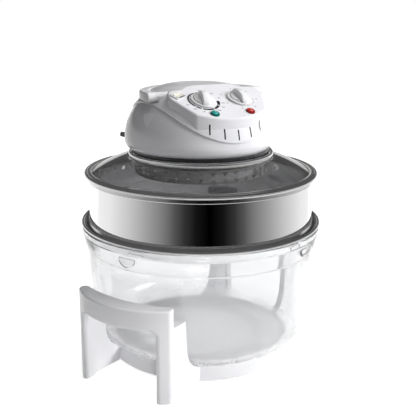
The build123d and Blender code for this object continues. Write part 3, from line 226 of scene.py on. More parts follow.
# %% [markdown]
# ## Glass
# The bowl is pressed clear glass, 5 mm thick, and the lid is the same glass with a grey tint.
# Glass is a Principled shader with full transmission and an IOR of 1.47; the thickness of the
# CAD wall does the rest. A Glass shader would do too, but this one takes the same helpers as the
# plastics. Pressed glass shows a slow ripple, where the mould chilled it, so a very long, low
# relief goes on top, and a haze where it has been wiped.

# %% Glass
def glass(name, tint, haze, ripple, ior=1.47):
    material = new_finish(name, tint, haze)
    shader = shader_of(material)
    shader.inputs["Transmission Weight"].default_value = 1.0
    shader.inputs["IOR"].default_value = ior
    spot = place(material)
    wiped = noise(material, spot, scale=40.0, detail=4.0)
    sheen_map(material, wiped, 0.0, haze, (0.45, 0.75))
    relief(material, noise(material, spot, scale=18.0, detail=1.0), depth=ripple, strength=0.5)
    return material


bowl_glass = glass("pressed_clear_glass", (0.88, 0.883, 0.89), 0.2, 0.0003)
lid_glass = glass("grey_lid_glass", (0.17, 0.17, 0.172), 0.012, 0.00008)
quartz = glass("quartz_tube", (0.93, 0.91, 0.87), 0.12, 0.0001, 1.46)
neon_glass = glass("lamp_bulb_glass", (0.95, 0.75, 0.5), 0.05, 0.0001)
print("glasses ready")

# %% [markdown]
# ## The bowl's stippled base
# The wall of a pressed bowl is clear, but its base is often stippled, so that it doesn't show
# scratches and hides the stand below. One mask says how far a point is base: it is 1 low down
# and near the middle, and falls off with height and with distance from the axis. More of it
# means a rougher glass that lets less light straight through. The mask has soft edges, because
# a sharp one would draw a line on the wall.

# %% Stippled base
base_heights = (0.03, 0.07)
base_reaches = (0.07, 0.14)
rim_share = 0.25
stipple_roughness = 0.5
wall_transmission, base_transmission = 0.94, 0.8
height = node(bowl_glass, "ShaderNodeSeparateXYZ", [("Vector", place(bowl_glass))]).outputs["Z"]
level = [(0, place(bowl_glass)), (1, (1.0, 1.0, 0.0))]
flat = node(bowl_glass, "ShaderNodeVectorMath", level, operation="MULTIPLY").outputs["Vector"]
low = ranged(bowl_glass, height, base_heights, (1.0, 0.0))
central = ranged(bowl_glass, length_of(bowl_glass, flat), base_reaches, (1.0, rim_share))
pressed = maths(bowl_glass, "MULTIPLY", low, central)
stipple = ranged(bowl_glass, pressed, (0.0, 0.6), (0.0, stipple_roughness))
clear = ranged(bowl_glass, pressed, (0.0, 1.0), (wall_transmission, base_transmission))
bowl_shader = shader_of(bowl_glass)
bowl_glass.node_tree.links.new(clear, bowl_shader.inputs["Transmission Weight"])
wiped = bowl_shader.inputs["Roughness"].links[0].from_socket
rough = maths(bowl_glass, "ADD", wiped, stipple)
bowl_glass.node_tree.links.new(rough, bowl_shader.inputs["Roughness"])
print("base stippled up to", base_heights[1] / MM, "mm above the table")

# %% [markdown]
# ## Metals
# The extension ring is mirror-polished stainless steel, so its finish is almost only gloss, with
# polishing lines round the ring too fine to see one by one. They come from noise on two measures
# that don't change along the ring, the height and the distance from the origin; an anisotropic
# shader would need a tangent for the same effect. The rims are rolled after polishing, which
# dulls them. The heater pan is aluminised sheet with a soft spangle, darkened by heat, and the
# small parts are zinc, bronze and copper.
#
# The guard is bright steel mesh, seen only through the tinted lid. As a metal it would mirror
# the dark inside and vanish, so its finish is pale and not metallic.

# %% Metals
polish_pitch = 2400.0


def polished(name, colour, gloss, lines=0.00001, metallic=1.0):
    """Bright sheet, polished round the upright axis."""
    material = new_finish(name, colour, gloss, metallic)
    spot = place(material)
    height = node(material, "ShaderNodeSeparateXYZ", [("Vector", spot)]).outputs["Z"]
    measures = [("X", length_of(material, spot)), ("Y", height)]
    lane = node(material, "ShaderNodeCombineXYZ", measures).outputs["Vector"]
    uneven = noise(material, spot, scale=30.0, detail=5.0)
    sheen_map(material, uneven, gloss * 0.6, gloss * 1.6)
    relief(material, noise(material, lane, polish_pitch, 2.0), depth=lines, strength=0.4)
    return material


def sheet_metal(name, dark, light, gloss, scale=260.0):
    """Dull sheet with a spangle."""
    material = new_finish(name, light, gloss, 1.0)
    spot = place(material)
    drift(material, cells(material, spot, scale), dark, light, (0.1, 0.7))
    uneven = noise(material, spot, scale=90.0, detail=4.0)
    sheen_map(material, uneven, gloss * 0.7, gloss * 1.3)
    relief(material, noise(material, spot, scale=900.0), depth=0.00004, strength=0.5)
    return material


mirror_steel = polished("mirror_stainless", (0.87, 0.87, 0.875), 0.035)
rim_steel = polished("polished_rim_steel", (0.58, 0.58, 0.585), 0.13, 0.00003)
guard_steel = polished("guard_stainless", (0.9, 0.9, 0.9), 0.4, 0.00004, metallic=0.0)
pan_steel = sheet_metal("aluminised_sheet", (0.30, 0.30, 0.31), (0.42, 0.42, 0.43), 0.3)
zinc = sheet_metal("zinc_plate", (0.48, 0.49, 0.48), (0.62, 0.62, 0.60), 0.3, 900.0)
fan_metal = sheet_metal("fan_aluminium", (0.58, 0.58, 0.59), (0.70, 0.70, 0.71), 0.32, 500.0)
bronze = sheet_metal("sintered_bronze", (0.32, 0.20, 0.09), (0.52, 0.36, 0.18), 0.45, 2200.0)
copper = sheet_metal("varnished_copper", (0.46, 0.17, 0.06), (0.66, 0.30, 0.13), 0.3, 1500.0)
print("metals ready")

# %% [markdown]
# ## Enamel, rubber, ceramic and the rest
# The plate under the head is black enamel. Enamel, rubber, silicone and fired ceramic all have a
# skin like fine powder, so one recipe serves them: a drift of colour, an even sheen and a finer
# relief. The laminated core of the motor shows the edges of its thin sheets, so it gets stripes
# by height. A wave pattern gives them, and no sheet has to be modelled.

# %% Dark and soft finishes
def powdery(name, dark, light, gloss, scale, depth):
    material = new_finish(name, light, gloss)
    spot = place(material)
    drift(material, noise(material, spot, scale), dark, light)
    sheen_map(material, noise(material, spot, scale / 4), gloss * 0.85, gloss * 1.15)
    relief(material, noise(material, spot, scale * 3), depth, 0.7)
    return material


def stacked_sheets(name, dark, light):
    """Stripes of thin steel sheets, stacked along the upright axis."""
    material = new_finish(name, light, 0.5, 0.6)
    spot = place(material)
    inputs = [("Vector", spot), ("Scale", 320.0), ("Distortion", 0.3)]
    stripe = node(material, "ShaderNodeTexWave", inputs, bands_direction="Z").outputs["Fac"]
    drift(material, stripe, dark, light, (0.2, 0.8))
    relief(material, stripe, 0.0001, 0.8)
    return material


enamels = (0.012, 0.012, 0.013), (0.03, 0.03, 0.032)
enamel_black = powdery("black_enamel", *enamels, 0.22, 120.0, 0.00003)
rubbers = (0.016, 0.016, 0.016), (0.03, 0.03, 0.03)
foot_rubber = powdery("foot_rubber", *rubbers, 0.7, 300.0, 0.00008)
silicones = (0.66, 0.66, 0.63), (0.76, 0.76, 0.73)
silicone = powdery("white_silicone", *silicones, 0.5, 90.0, 0.00004)
ceramics = (0.72, 0.70, 0.64), (0.84, 0.82, 0.76)
ceramic = powdery("fired_ceramic", *ceramics, 0.5, 400.0, 0.00005)
lamination = stacked_sheets("motor_lamination", (0.05, 0.05, 0.055), (0.16, 0.16, 0.165))
print("enamel, rubber, silicone, ceramic and lamination ready")

# %% [markdown]
# ## Signal lamps
# The two lamps are domed lenses of clear coloured plastic over small neon bulbs. The lens is
# faceted inside to spread the light. A few facets at the middle glint. These glints are painted
# highlights, a pale colour mixed into the lens's colour. The colour also runs deeper towards the
# edge. Both are a matter of distance from the lens's own axis, which is square to the panel.

# %% Lamp lenses
lens_axis = Vector((-0.185264, -0.379847, 0.906308))
facets_across = 2.4
facet_edges = (0.15, 0.4)
painted_glint_reaches = (0.3, 0.6)


def lens(name, deep, bright, painted_glint):
    material = new_finish(name, bright, 0.08)
    points = [vert.co for vert in nodes[name].data.vertices]
    middle = sum(points, Vector()) / len(points)
    reach = max((point - middle).cross(lens_axis).length for point in points)
    print(name, "radius", round(reach, 5))
    spot = place(material, squeeze=(reach, reach, reach), centre=middle)
    across = [(0, spot), (1, lens_axis)]
    sideways = node(material, "ShaderNodeVectorMath", across, operation="CROSS_PRODUCT")
    away = length_of(material, sideways.outputs["Vector"])
    shade = drift(material, away, bright, deep, (0.35, 0.95))
    # Painted highlight: near the axis, the middle of each facet takes the pale glint colour.
    facets = cells(material, spot, facets_across)
    facet = ranged(material, facets, facet_edges, (1.0, 0.0))
    central = ranged(material, away, painted_glint_reaches, (1.0, 0.0))
    painted_glint_mask = maths(material, "MULTIPLY", facet, central)
    # Sockets 6 and 7 of a Mix node are its two colours, and output 2 is the mixed one.
    colours = [(0, painted_glint_mask), (6, shade), (7, (*painted_glint, 1.0))]
    mixed = node(material, "ShaderNodeMix", colours, data_type="RGBA").outputs[2]
    material.node_tree.links.new(mixed, shader_of(material).inputs["Base Color"])
    relief(material, facets, depth=0.0002, strength=0.5)
    shader = shader_of(material)
    shader.inputs["Transmission Weight"].default_value = 0.1
    shader.inputs["Specular IOR Level"].default_value = 0.35
    shader.inputs["Coat Weight"].default_value = 0.25
    shader.inputs["Coat Roughness"].default_value = 0.05
    return material


lens_green = lens("green_lens", (0.0, 0.12, 0.105), (0.01, 0.36, 0.31), (0.75, 0.95, 0.93))
lens_red = lens("red_lens", (0.24, 0.006, 0.005), (0.6, 0.03, 0.02), (0.95, 0.78, 0.72))
print("lenses ready")

# %% [markdown]
# ## Give every solid its finish
# A CAD object keeps its mesh. Only the material in its slot changes, and the table says which
# finish each named solid takes. Light passes through real glass, but a path tracer that sends few
# rays loses most of it and leaves the inside black. So the two large glasses cast no shadow and
# take no part in soft light, and polished steel doesn't show the lid's glass again.

# %% Finish of each solid
finish_of = {
    "base_ring": stand_white,
    "handle_left": stand_white,
    "handle_right": stand_white,
    "handle_screws": zinc,
    "rubber_feet": foot_rubber,
    "glass_bowl": bowl_glass,
    "extension_band": mirror_steel,
    "extension_flange": rim_steel,
    "lid_rim": rim_steel,
    "lid_seal": silicone,
    "lid_glass": lid_glass,
    "upper_gasket": silicone,
    "lower_gasket": silicone,
    "collar_ring": rim_steel,
    "head_base": enamel_black,
    "heater_pan": pan_steel,
    "pan_screws": zinc,
    "heater_guard": guard_steel,
    "halogen_tube": quartz,
    "tube_holders": ceramic,
    "circulation_fan": fan_metal,
    "fan_nut": zinc,
    "fan_shaft": zinc,
    "motor_rotor": lamination,
    "motor_stator": lamination,
    "motor_coil": copper,
    "motor_bearings": bronze,
    "motor_bracket": zinc,
    "bearing_bridge": zinc,
    "cooling_fan": nylon_white,
    "thermal_cutout": zinc,
    "terminal_block": nylon_white,
    "lower_housing": head_white,
    "housing_screws": zinc,
    "control_cover": head_white,
    "bail_handle": bail_white,
    "pivot_pins": zinc,
    "interlock_switch": moulded_black,
    "interlock_plunger": nylon_white,
    "thermostat_knob": knob_white,
    "timer_knob": knob_white,
    "thermostat_shaft": zinc,
    "timer_shaft": zinc,
    "thermostat_body": zinc,
    "timer_body": zinc,
    "green_lens": lens_green,
    "red_lens": lens_red,
    "neon_lamps": neon_glass,
    "rocker_frame": bail_white,
    "rocker_switch": cream,
    "cord_gland": moulded_grey,
}
for name, solid in nodes.items():
    solid.data.materials.clear()
    solid.data.materials.append(finish_of[name])
for name in ("glass_bowl", "lid_glass"):
    nodes[name].visible_shadow = False
    nodes[name].visible_diffuse = False
nodes["lid_glass"].visible_glossy = False
print("finished", len(finish_of), "solids")

# %% [markdown]
# ## Printed marks
# The dials are printed on the panel: a bold broken arc round the thermostat in black ink, a thin
# ring round the timer in grey, short ticks and plain numbers. A texture could carry them, but ink
# as thin raised pieces stays sharp at any distance. Each mark is drawn flat in the panel's own
# plane, in millimetres, and one matrix lays it on the panel.
# Spin makes the arcs, and text objects, turned into meshes, give the numbers.

# %% Ink and the panel's plane
blacks = (0.010, 0.010, 0.011), (0.020, 0.020, 0.021)
ink_black = powdery("black_ink", *blacks, 0.45, 900.0, 0.00001)
greys = (0.10, 0.10, 0.105), (0.14, 0.14, 0.145)
ink_grey = powdery("grey_ink", *greys, 0.5, 900.0, 0.00001)
head_turn = -26.0
panel_slope = 25.0
panel_foot = Vector((0.0, -60.0, 364.0)) * MM
lid_turn = Matrix.Rotation(radians(head_turn), 4, "Z")
on_panel = (
    lid_turn
    @ Matrix.Translation(panel_foot)
    @ Matrix.Rotation(radians(panel_slope), 4, "X")
    @ Matrix.Scale(MM, 4)
)
ink_height = 0.06
ink_depth = 0.1
thermostat_centre = (-28.0, 7.17)
timer_centre = (28.0, 7.17)
# Each control's name, its middle and the bearing of its zero, where the knob points at rest.
controls = (("thermostat", thermostat_centre, 76), ("timer", timer_centre, 90))
arc_step = 5
print("panel turned", head_turn, "and sloped", panel_slope, "degrees")


def make_piece(build, name, finish, body):
    """Turn a bmesh into an object at the origin, with its finish, that rides on a body."""
    bmesh.ops.recalc_face_normals(build, faces=build.faces)
    mesh = bpy.data.meshes.new(name)
    build.to_mesh(mesh)
    build.free()
    mesh.materials.append(finish)
    piece = bpy.data.objects.new(name, mesh)
    bpy.context.scene.collection.objects.link(piece)
    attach(piece, body)
    print(name, len(mesh.polygons), "faces")
    return piece


def spot_at(centre, radius, degrees):
    return (centre[0] + radius * cos(radians(degrees)), centre[1] + radius * sin(radians(degrees)))


def draw_arc(build, centre, radius, start, end, thin, bold):
    """An arc from start to end in degrees, whose width grows from thin to bold."""
    before = set(build.verts)
    across = [spot_at(centre, reach, start) for reach in (radius, radius + bold)]
    ends = [build.verts.new((*spot, ink_height)) for spot in across]
    line = build.edges.new(ends)
    steps = max(2, round((end - start) / arc_step))
    sweep = radians(end - start)
    pivot = (*centre, 0.0)
    parts = [*ends, line]
    bmesh.ops.spin(build, geom=parts, cent=pivot, axis=(0, 0, 1), angle=sweep, steps=steps)
    middle = Vector(pivot)
    for vert in set(build.verts) - before:
        arm = vert.co - middle
        arm.z = 0.0
        if arm.length > radius + bold / 2:
            turned = (atan2(arm.y, arm.x) - radians(start)) % (2 * pi)
            width = thin + (bold - thin) * min(turned / sweep, 1.0)
            vert.co -= arm.normalized() * (arm.length - radius - width)


def draw_tick(build, centre, radius, degrees, length, width):
    spot = Matrix.Translation((*spot_at(centre, radius + length / 2, degrees), ink_height))
    shape = Matrix.Diagonal((length, width, 1.0, 1.0))
    turn = Matrix.Rotation(radians(degrees), 4, "Z")
    bmesh.ops.create_grid(build, x_segments=1, y_segments=1, size=0.5, matrix=spot @ turn @ shape)


def draw_number(build, number, size, spot):
    text = bpy.data.curves.new("number", "FONT")
    text.body = str(number)
    text.size = size
    text.align_x = "CENTER"
    text.align_y = "CENTER"
    carrier = bpy.data.objects.new("number", text)
    bpy.context.scene.collection.objects.link(carrier)
    mesh = bpy.data.meshes.new_from_object(carrier)
    mesh.transform(Matrix.Translation((*spot, ink_height)))
    build.from_mesh(mesh)
    bpy.data.objects.remove(carrier)
    bpy.data.meshes.remove(mesh)


def lay_ink(build, name, ink):
    """Give the flat drawing its thickness and lay it on the panel."""
    grown = bmesh.ops.extrude_face_region(build, geom=build.faces[:])
    sunk = [part for part in grown["geom"] if isinstance(part, bmesh.types.BMVert)]
    bmesh.ops.translate(build, verts=sunk, vec=(0.0, 0.0, -ink_depth))
    bmesh.ops.transform(build, matrix=on_panel, verts=build.verts)
    return make_piece(build, name, ink, "lid")


# %% [markdown]
# The thermostat's numbers rise clockwise from 0 to 250. Its arc is broken in six and swells the
# other way round, from the top. Each part is its start and end in degrees and its width at both,
# in millimetres. Degrees count counter-clockwise from the right.

# %% Thermostat marks
arc_radius = 19.0
arc_parts = (
    (85, 92, 2.6, 2.6),
    (96, 213, 1.5, 2.7),
    (217, 238, 2.8, 3.0),
    (242, 287, 3.0, 3.4),
    (291, 322, 3.4, 3.7),
    (326, 354, 3.7, 4.2),
)
build = bmesh.new()
for start, end, thin, bold in arc_parts:
    draw_arc(build, thermostat_centre, arc_radius, start, end, thin, bold)
lay_ink(build, "thermostat_arc", ink_black)

number_radius = 27.4
number_size = 3.3
tick_radius = 24.2
tick_length, hair_line = 0.9, 0.35
heat_settings = {0: 76, 60: 37, 90: 10, 120: -17, 150: -41, 180: -65}
heat_settings |= {210: -115, 230: -140, 250: -165}
build = bmesh.new()
for number, degrees in heat_settings.items():
    spot = spot_at(thermostat_centre, number_radius, degrees)
    draw_number(build, number, number_size, spot)
    draw_tick(build, thermostat_centre, tick_radius, degrees, tick_length, hair_line)
lay_ink(build, "thermostat_numbers", ink_black)

# %% [markdown]
# The timer runs clockwise from 0 to 60 minutes over 300 degrees, so a minute is 5 degrees. Its
# ring is thin and grey, with a tick each 5 minutes and a number each 10.

# %% Timer marks
degrees_per_minute = 5
ring_part, ring_gap = 30, 2
minute_tick_gap, minute_tick_length = 0.9, 1.3
minute_inset = 2.4
build = bmesh.new()
for start in range(-210, 90, ring_part):
    first, last = start + ring_gap, start + ring_part - ring_gap
    draw_arc(build, timer_centre, arc_radius, first, last, hair_line, hair_line)
lay_ink(build, "timer_ring", ink_grey)

build = bmesh.new()
for minutes in range(0, 65, 5):
    degrees = 90 - degrees_per_minute * minutes
    tick_foot = arc_radius + minute_tick_gap
    draw_tick(build, timer_centre, tick_foot, degrees, minute_tick_length, hair_line)
    if minutes % 10 == 0:
        spot = spot_at(timer_centre, number_radius - minute_inset, degrees)
        draw_number(build, minutes, number_size, spot)
lay_ink(build, "timer_numbers", ink_grey)

# %% [markdown]
# ## Knobs
# The CAD knobs have the right width and sit on their shafts, but their grips are plain bars. A
# real grip is a low half disc that stands on a shallow skirt, so that finger and thumb find a
# round flank on each side. Cylinders give both: two flat ones for the stepped skirt, and one
# lying on its side and cut in half for the grip, with bevels where the mould has radii. These
# pieces take the place of the CAD knobs.

# %% Knobs
skirt_shapes = ((17.4, 16.9, 0.6, 2.6), (14.2, 12.6, 2.4, 4.4))
skirt_bevel = 0.7
grip_reach = 15.5
grip_width = 9.4
grip_height = 12.0
grip_foot = 2.4
flank_bevel = 1.6
sharp_angle = 1.2
round_sides = 64


def bevel_rims(build, edges, offset, segments=3):
    bmesh.ops.bevel(
        build,
        geom=edges,
        offset=offset,
        segments=segments,
        affect="EDGES",
        profile=0.5,
        material=-1,
    )


def add_cylinder(build, foot_radius, top_radius, length, matrix):
    return bmesh.ops.create_cone(
        build,
        cap_ends=True,
        segments=round_sides,
        radius1=foot_radius,
        radius2=top_radius,
        depth=length,
        matrix=matrix,
    )["verts"]


def add_skirt(build):
    for foot_radius, top_radius, low, high in skirt_shapes:
        lift = Matrix.Translation((0.0, 0.0, (low + high) / 2))
        made = add_cylinder(build, foot_radius, top_radius, high - low, lift)
        top = {vert for vert in made if vert.co.z > high - 0.01}
        bevel_rims(build, [edge for edge in build.edges if top.issuperset(edge.verts)], skirt_bevel)


def add_grip(build):
    """A half disc on edge: a cylinder laid down, cut at its axis, closed and squashed."""
    skirts = set(build.verts)
    lying = Matrix.Rotation(radians(90.0), 4, "X")
    add_cylinder(build, grip_reach, grip_reach, grip_width, lying)
    everything = (*build.verts, *build.edges, *build.faces)
    parts = [part for part in everything if not skirts & set(getattr(part, "verts", [part]))]
    cut = bmesh.ops.bisect_plane(
        build, geom=parts, plane_co=(0, 0, 0), plane_no=(0, 0, -1), clear_outer=True
    )
    rim = [part for part in cut["geom_cut"] if isinstance(part, bmesh.types.BMEdge)]
    bmesh.ops.holes_fill(build, edges=rim)
    grip = [vert for vert in build.verts if vert not in skirts]
    squash = (grip_height - grip_foot) / grip_reach
    bmesh.ops.scale(build, vec=(1.0, 1.0, squash), verts=grip)
    bmesh.ops.translate(build, vec=(0.0, 0.0, grip_foot), verts=grip)
    flank_edges = [
        edge
        for edge in build.edges
        if edge.verts[0] not in skirts
        and len(edge.link_faces) == 2
        and edge.calc_face_angle() > sharp_angle
        and edge.verts[0].co.y * edge.verts[1].co.y > 0
    ]
    bevel_rims(build, flank_edges, flank_bevel)


def make_knob(control, centre, points_to):
    build = bmesh.new()
    add_skirt(build)
    add_grip(build)
    turn = Matrix.Rotation(radians(points_to), 4, "Z")
    home = on_panel @ Matrix.Translation((*centre, 0.0)) @ turn
    bmesh.ops.transform(build, matrix=home, verts=build.verts)
    knob = make_piece(build, f"{control}_knob_shape", knob_white, control)
    for face in knob.data.polygons:
        face.use_smooth = True
    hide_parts(f"{control}_knob")


for control, centre, points_to in controls:
    make_knob(control, centre, points_to)

# %% [markdown]
# ## Pointer marks and the switch's edge
# A knob needs a mark that shows where it points. It is a short grey finger that stands out from
# the skirt's upper step, at the high end of the grip. The switch has a dark strip along the front
# of its bezel. Both are small blocks: a cube, scaled, with its edges bevelled. Paint alone would
# do for both, but a block has an edge that catches light.

# %% Small blocks on the panel
block_bevel = 0.1


def small_block(build, spot, turn, size):
    """A bevelled block in the panel's plane: centre, turn in degrees and size in millimetres."""
    facing = Matrix.Rotation(radians(turn), 4, "Z")
    matrix = Matrix.Translation(spot) @ facing @ Matrix.Diagonal((*size, 1.0))
    bmesh.ops.create_cube(build, size=1.0, matrix=matrix)
    bevel_rims(build, build.edges[:], block_bevel, segments=2)
    bmesh.ops.transform(build, matrix=on_panel, verts=build.verts)


pointer_reach, pointer_lift = 14.6, 3.5
pointer_size = (3.4, 0.9, 0.3)
for control, centre, points_to in controls:
    build = bmesh.new()
    spot = (*spot_at(centre, pointer_reach, points_to), pointer_lift)
    small_block(build, spot, points_to, pointer_size)
    make_piece(build, f"{control}_pointer", ink_grey, control)

rocker_middle = Vector((-57.5, 22.62, 0.0))
rocker_lay = 25.0
edge_from_middle = Vector((1.5, -5.9, 1.65))
edge_size = (10.5, 1.5, 0.3)
build = bmesh.new()
strip_spot = rocker_middle + Matrix.Rotation(radians(rocker_lay), 3, "Z") @ edge_from_middle
small_block(build, strip_spot, rocker_lay, edge_size)
make_piece(build, "switch_strip", moulded_black, "lid")

# %% [markdown]
# ## Dark vents
# The five slits at the front lead into the head, whose inside is in shade. That shade is painted:
# a black strip stands in each slit, a thin block a fifth of a millimetre below the cover's skin,
# so that the slits read as clean dark lines. A ray finds how far out the skin is. It is sent a
# little beside the slit, because in the slit there is no skin to meet.

# %% Vent strips
def skin_of(name):
    """The surface of a solid, for rays to find."""
    mesh = nodes[name].data
    points = [vert.co[:] for vert in mesh.vertices]
    return BVHTree.FromPolygons(points, [face.vertices[:] for face in mesh.polygons])


def inward_from(bearing):
    return Vector((-cos(bearing), -sin(bearing), 0.0))


ray_start = 0.2
head_middle = lid_turn @ Vector((0.0, 0.006, 0.0))
slit_pitch, beside_slit = 11.0, 1.7
slit_middle, slit_rise = 326.5, 2.1
strip_height = 13.4
strip_depth = 0.2
strip_width, strip_thickness = 0.0021, 0.0008
cover_skin = skin_of("control_cover")
build = bmesh.new()
for step in range(-2, 3):
    azimuth = radians(-90.0 + head_turn + slit_pitch * step)
    flat = Matrix.Diagonal((strip_height, 1.0, 1.0, 1.0))
    made = bmesh.ops.create_grid(build, x_segments=8, y_segments=1, size=0.5, matrix=flat)
    for vert in made["verts"]:
        height = (slit_middle + slit_rise * step**2 + vert.co.x) * MM
        beside = azimuth + radians(beside_slit)
        away = Vector((ray_start * cos(beside), ray_start * sin(beside), height))
        spot = cover_skin.ray_cast(head_middle + away, inward_from(beside))[0]
        reach = (spot - head_middle).xy.length - strip_depth * MM
        across = Vector((-sin(azimuth), cos(azimuth), 0.0)) * vert.co.y * strip_width
        behind = Vector((reach * cos(azimuth), reach * sin(azimuth), height))
        vert.co = behind + head_middle + across
bmesh.ops.recalc_face_normals(build, faces=build.faces)
bmesh.ops.solidify(build, geom=build.faces[:], thickness=strip_thickness)
# Painted shade: the strips are near black to stand for the shade inside the slits.
slit_shade_tones = (0.004, 0.004, 0.004), (0.012, 0.012, 0.012)
painted_slit_shade = powdery("painted_slit_shade_black", *slit_shade_tones, 0.9, 1500.0, 0.0001)
make_piece(build, "painted_vent_shade", painted_slit_shade, "lid")

# %% [markdown]
# ## The fine grille on the housing
# On the left shoulder of the housing is a small patch of crossed ribs, moulded with the shell.
# Its ribs are drawn flat as two sets of strips, and bisect_plane trims them to the patch's four
# sides. Then each point is moved to the housing along a level line towards the axis, and
# solidify gives the ribs their height. A ray finds the surface, so the ribs follow its curve.

# %% Grille patch
# The ribs are the same plastic as the housing, but their finish is whiter and glossier. It is a
# painted highlight for the light that the raised ribs catch.
whites = (0.90, 0.90, 0.92), (0.94, 0.94, 0.96)
rib_painted_highlight = moulded("rib_painted_highlight_moulding", *whites, 0.15, coat=0.4)
# Corners and middle of the patch: bearing in degrees and height in millimetres.
grille_corners = ((158.0, 349.0), (171.1, 351.0), (168.3, 332.6), (162.7, 339.1))
grille_middle = (165.0, 343.0)
housing_reach = 92.0
rib_leans = (62.0, 118.0)
rib_length, rib_width, rib_height = 40.0, 1.1, 0.5
rib_pitch = 3.0
rib_root = 0.1
along = radians(1.0) * housing_reach
outline = []
for azimuth, height in grille_corners:
    outline.append(Vector(((azimuth - grille_middle[0]) * along, height - grille_middle[1], 0.0)))
build = bmesh.new()
for lean in rib_leans:
    turn = Matrix.Rotation(radians(lean), 4, "Z")
    for step in range(-9, 10):
        shift = Matrix.Translation((0.0, step * rib_pitch, 0.0))
        strip = turn @ shift @ Matrix.Diagonal((rib_length, rib_width, 1.0, 1.0))
        bmesh.ops.create_grid(build, x_segments=24, y_segments=1, size=0.5, matrix=strip)
for near, far in zip(outline, outline[1:] + outline[:1]):
    side = (far - near).cross(Vector((0.0, 0.0, 1.0)))
    outward = side if side.dot(near) > 0 else -side
    parts = build.verts[:] + build.edges[:] + build.faces[:]
    bmesh.ops.bisect_plane(build, geom=parts, plane_co=near, plane_no=outward, clear_outer=True)
housing_skin = skin_of("lower_housing")
for vert in build.verts:
    azimuth = radians(grille_middle[0] + vert.co.x / along)
    height = (grille_middle[1] + vert.co.y) * MM
    outside = Vector((ray_start * cos(azimuth), ray_start * sin(azimuth), height))
    spot, normal, _, _ = housing_skin.ray_cast(outside, inward_from(azimuth))
    vert.co = spot + normal * rib_height * MM
bmesh.ops.recalc_face_normals(build, faces=build.faces)
bmesh.ops.solidify(build, geom=build.faces[:], thickness=(rib_height + rib_root) * MM)
make_piece(build, "grille_patch", rib_painted_highlight, "lid")

# %% [markdown]
# ## The filament
# Inside the quartz tube runs a fine coil of tungsten wire. A small square section is spun round
# the oven's axis in many steps, and then each step is moved round a tiny circle, which winds the
# ring into a coil. A curve could do it too, but this keeps the faces few.

# %% Filament
tube_middle = 0.2715
tube_reach = 0.066
coil_reach = 0.0012
wire = 0.00028
coil_turns = 150
steps_per_turn = 7
tube_ends = 20.0
build = bmesh.new()
bmesh.ops.create_circle(
    build,
    cap_ends=True,
    segments=4,
    radius=wire,
    matrix=lid_turn
    @ Matrix.Rotation(radians(90.0 + tube_ends), 4, "Z")
    @ Matrix.Translation((tube_reach, 0.0, tube_middle))
    @ Matrix.Rotation(radians(90.0), 4, "X"),
)
sweep = radians(360.0 - 2 * tube_ends)
bmesh.ops.spin(
    build,
    geom=build.verts[:] + build.edges[:] + build.faces[:],
    cent=(0.0, 0.0, 0.0),
    axis=(0.0, 0.0, 1.0),
    angle=sweep,
    steps=coil_turns * steps_per_turn,
)
first = radians(90.0 + tube_ends + head_turn)
for vert in build.verts:
    bearing = atan2(vert.co.y, vert.co.x)
    phase = ((bearing - first) % (2 * pi)) / sweep * coil_turns * 2 * pi
    outward = Vector((cos(bearing), sin(bearing), 0.0))
    vert.co += outward * coil_reach * cos(phase) + Vector((0.0, 0.0, coil_reach * sin(phase)))
tungstens = (0.30, 0.30, 0.31), (0.46, 0.46, 0.47)
tungsten = sheet_metal("tungsten_wire", *tungstens, 0.4, 2600.0)
make_piece(build, "filament", tungsten, "lid")

# %% [markdown]
# ## Seam
# The ring is a strip of sheet, butted and welded, so a fine bead runs down its back. A cube,
# stretched to the bead's size and bevelled, stands a hair proud of the band.

# %% Seam
seam_bearing = radians(34.0)
seam_spot = (0.15695, 0.0, 0.2265)
seam_size = (0.0004, 0.0011, 0.05)
seam_bevel = 0.00015
build = bmesh.new()
bmesh.ops.create_cube(
    build,
    size=1.0,
    matrix=Matrix.Rotation(seam_bearing, 4, "Z")
    @ Matrix.Translation(seam_spot)
    @ Matrix.Diagonal((*seam_size, 1.0)),
)
bevel_rims(build, build.edges[:], seam_bevel, segments=2)
make_piece(build, "band_seam", rim_steel, "extension_ring")

# %% [markdown]
# ## Screw recesses
# Screws have a cross recess. The screws are CAD solids, several to a node, so the middle of each
# is found from the islands of its merged mesh, and a small dark cross of two thin blocks is set
# in its head. The cross is painted shade, the dark that would fall in a cut recess. At this size
# it reads as a hole, and nothing is cut from the solids.

# %% Screw recesses
cross_share, arm_share, cross_depth = 0.55, 0.24, 0.0001
same_point = 1e-6


def island_boxes(solid):
    """Lowest and highest corner of each separate solid in a node."""
    build = bmesh.new()
    build.from_mesh(solid.data)
    bmesh.ops.remove_doubles(build, verts=build.verts, dist=same_point)
    left = set(build.verts)
    boxes = []
    for first in build.verts:
        if first not in left:
            continue
        left.discard(first)
        island = set()
        edge_of_search = [first]
        while edge_of_search:
            vert = edge_of_search.pop()
            island.add(vert)
            near = {other for edge in vert.link_edges for other in edge.verts} & left
            left -= near
            edge_of_search.extend(near)
        low = Vector([min(vert.co[axis] for vert in island) for axis in range(3)])
        high = Vector([max(vert.co[axis] for vert in island) for axis in range(3)])
        boxes.append((low, high))
    build.free()
    return boxes


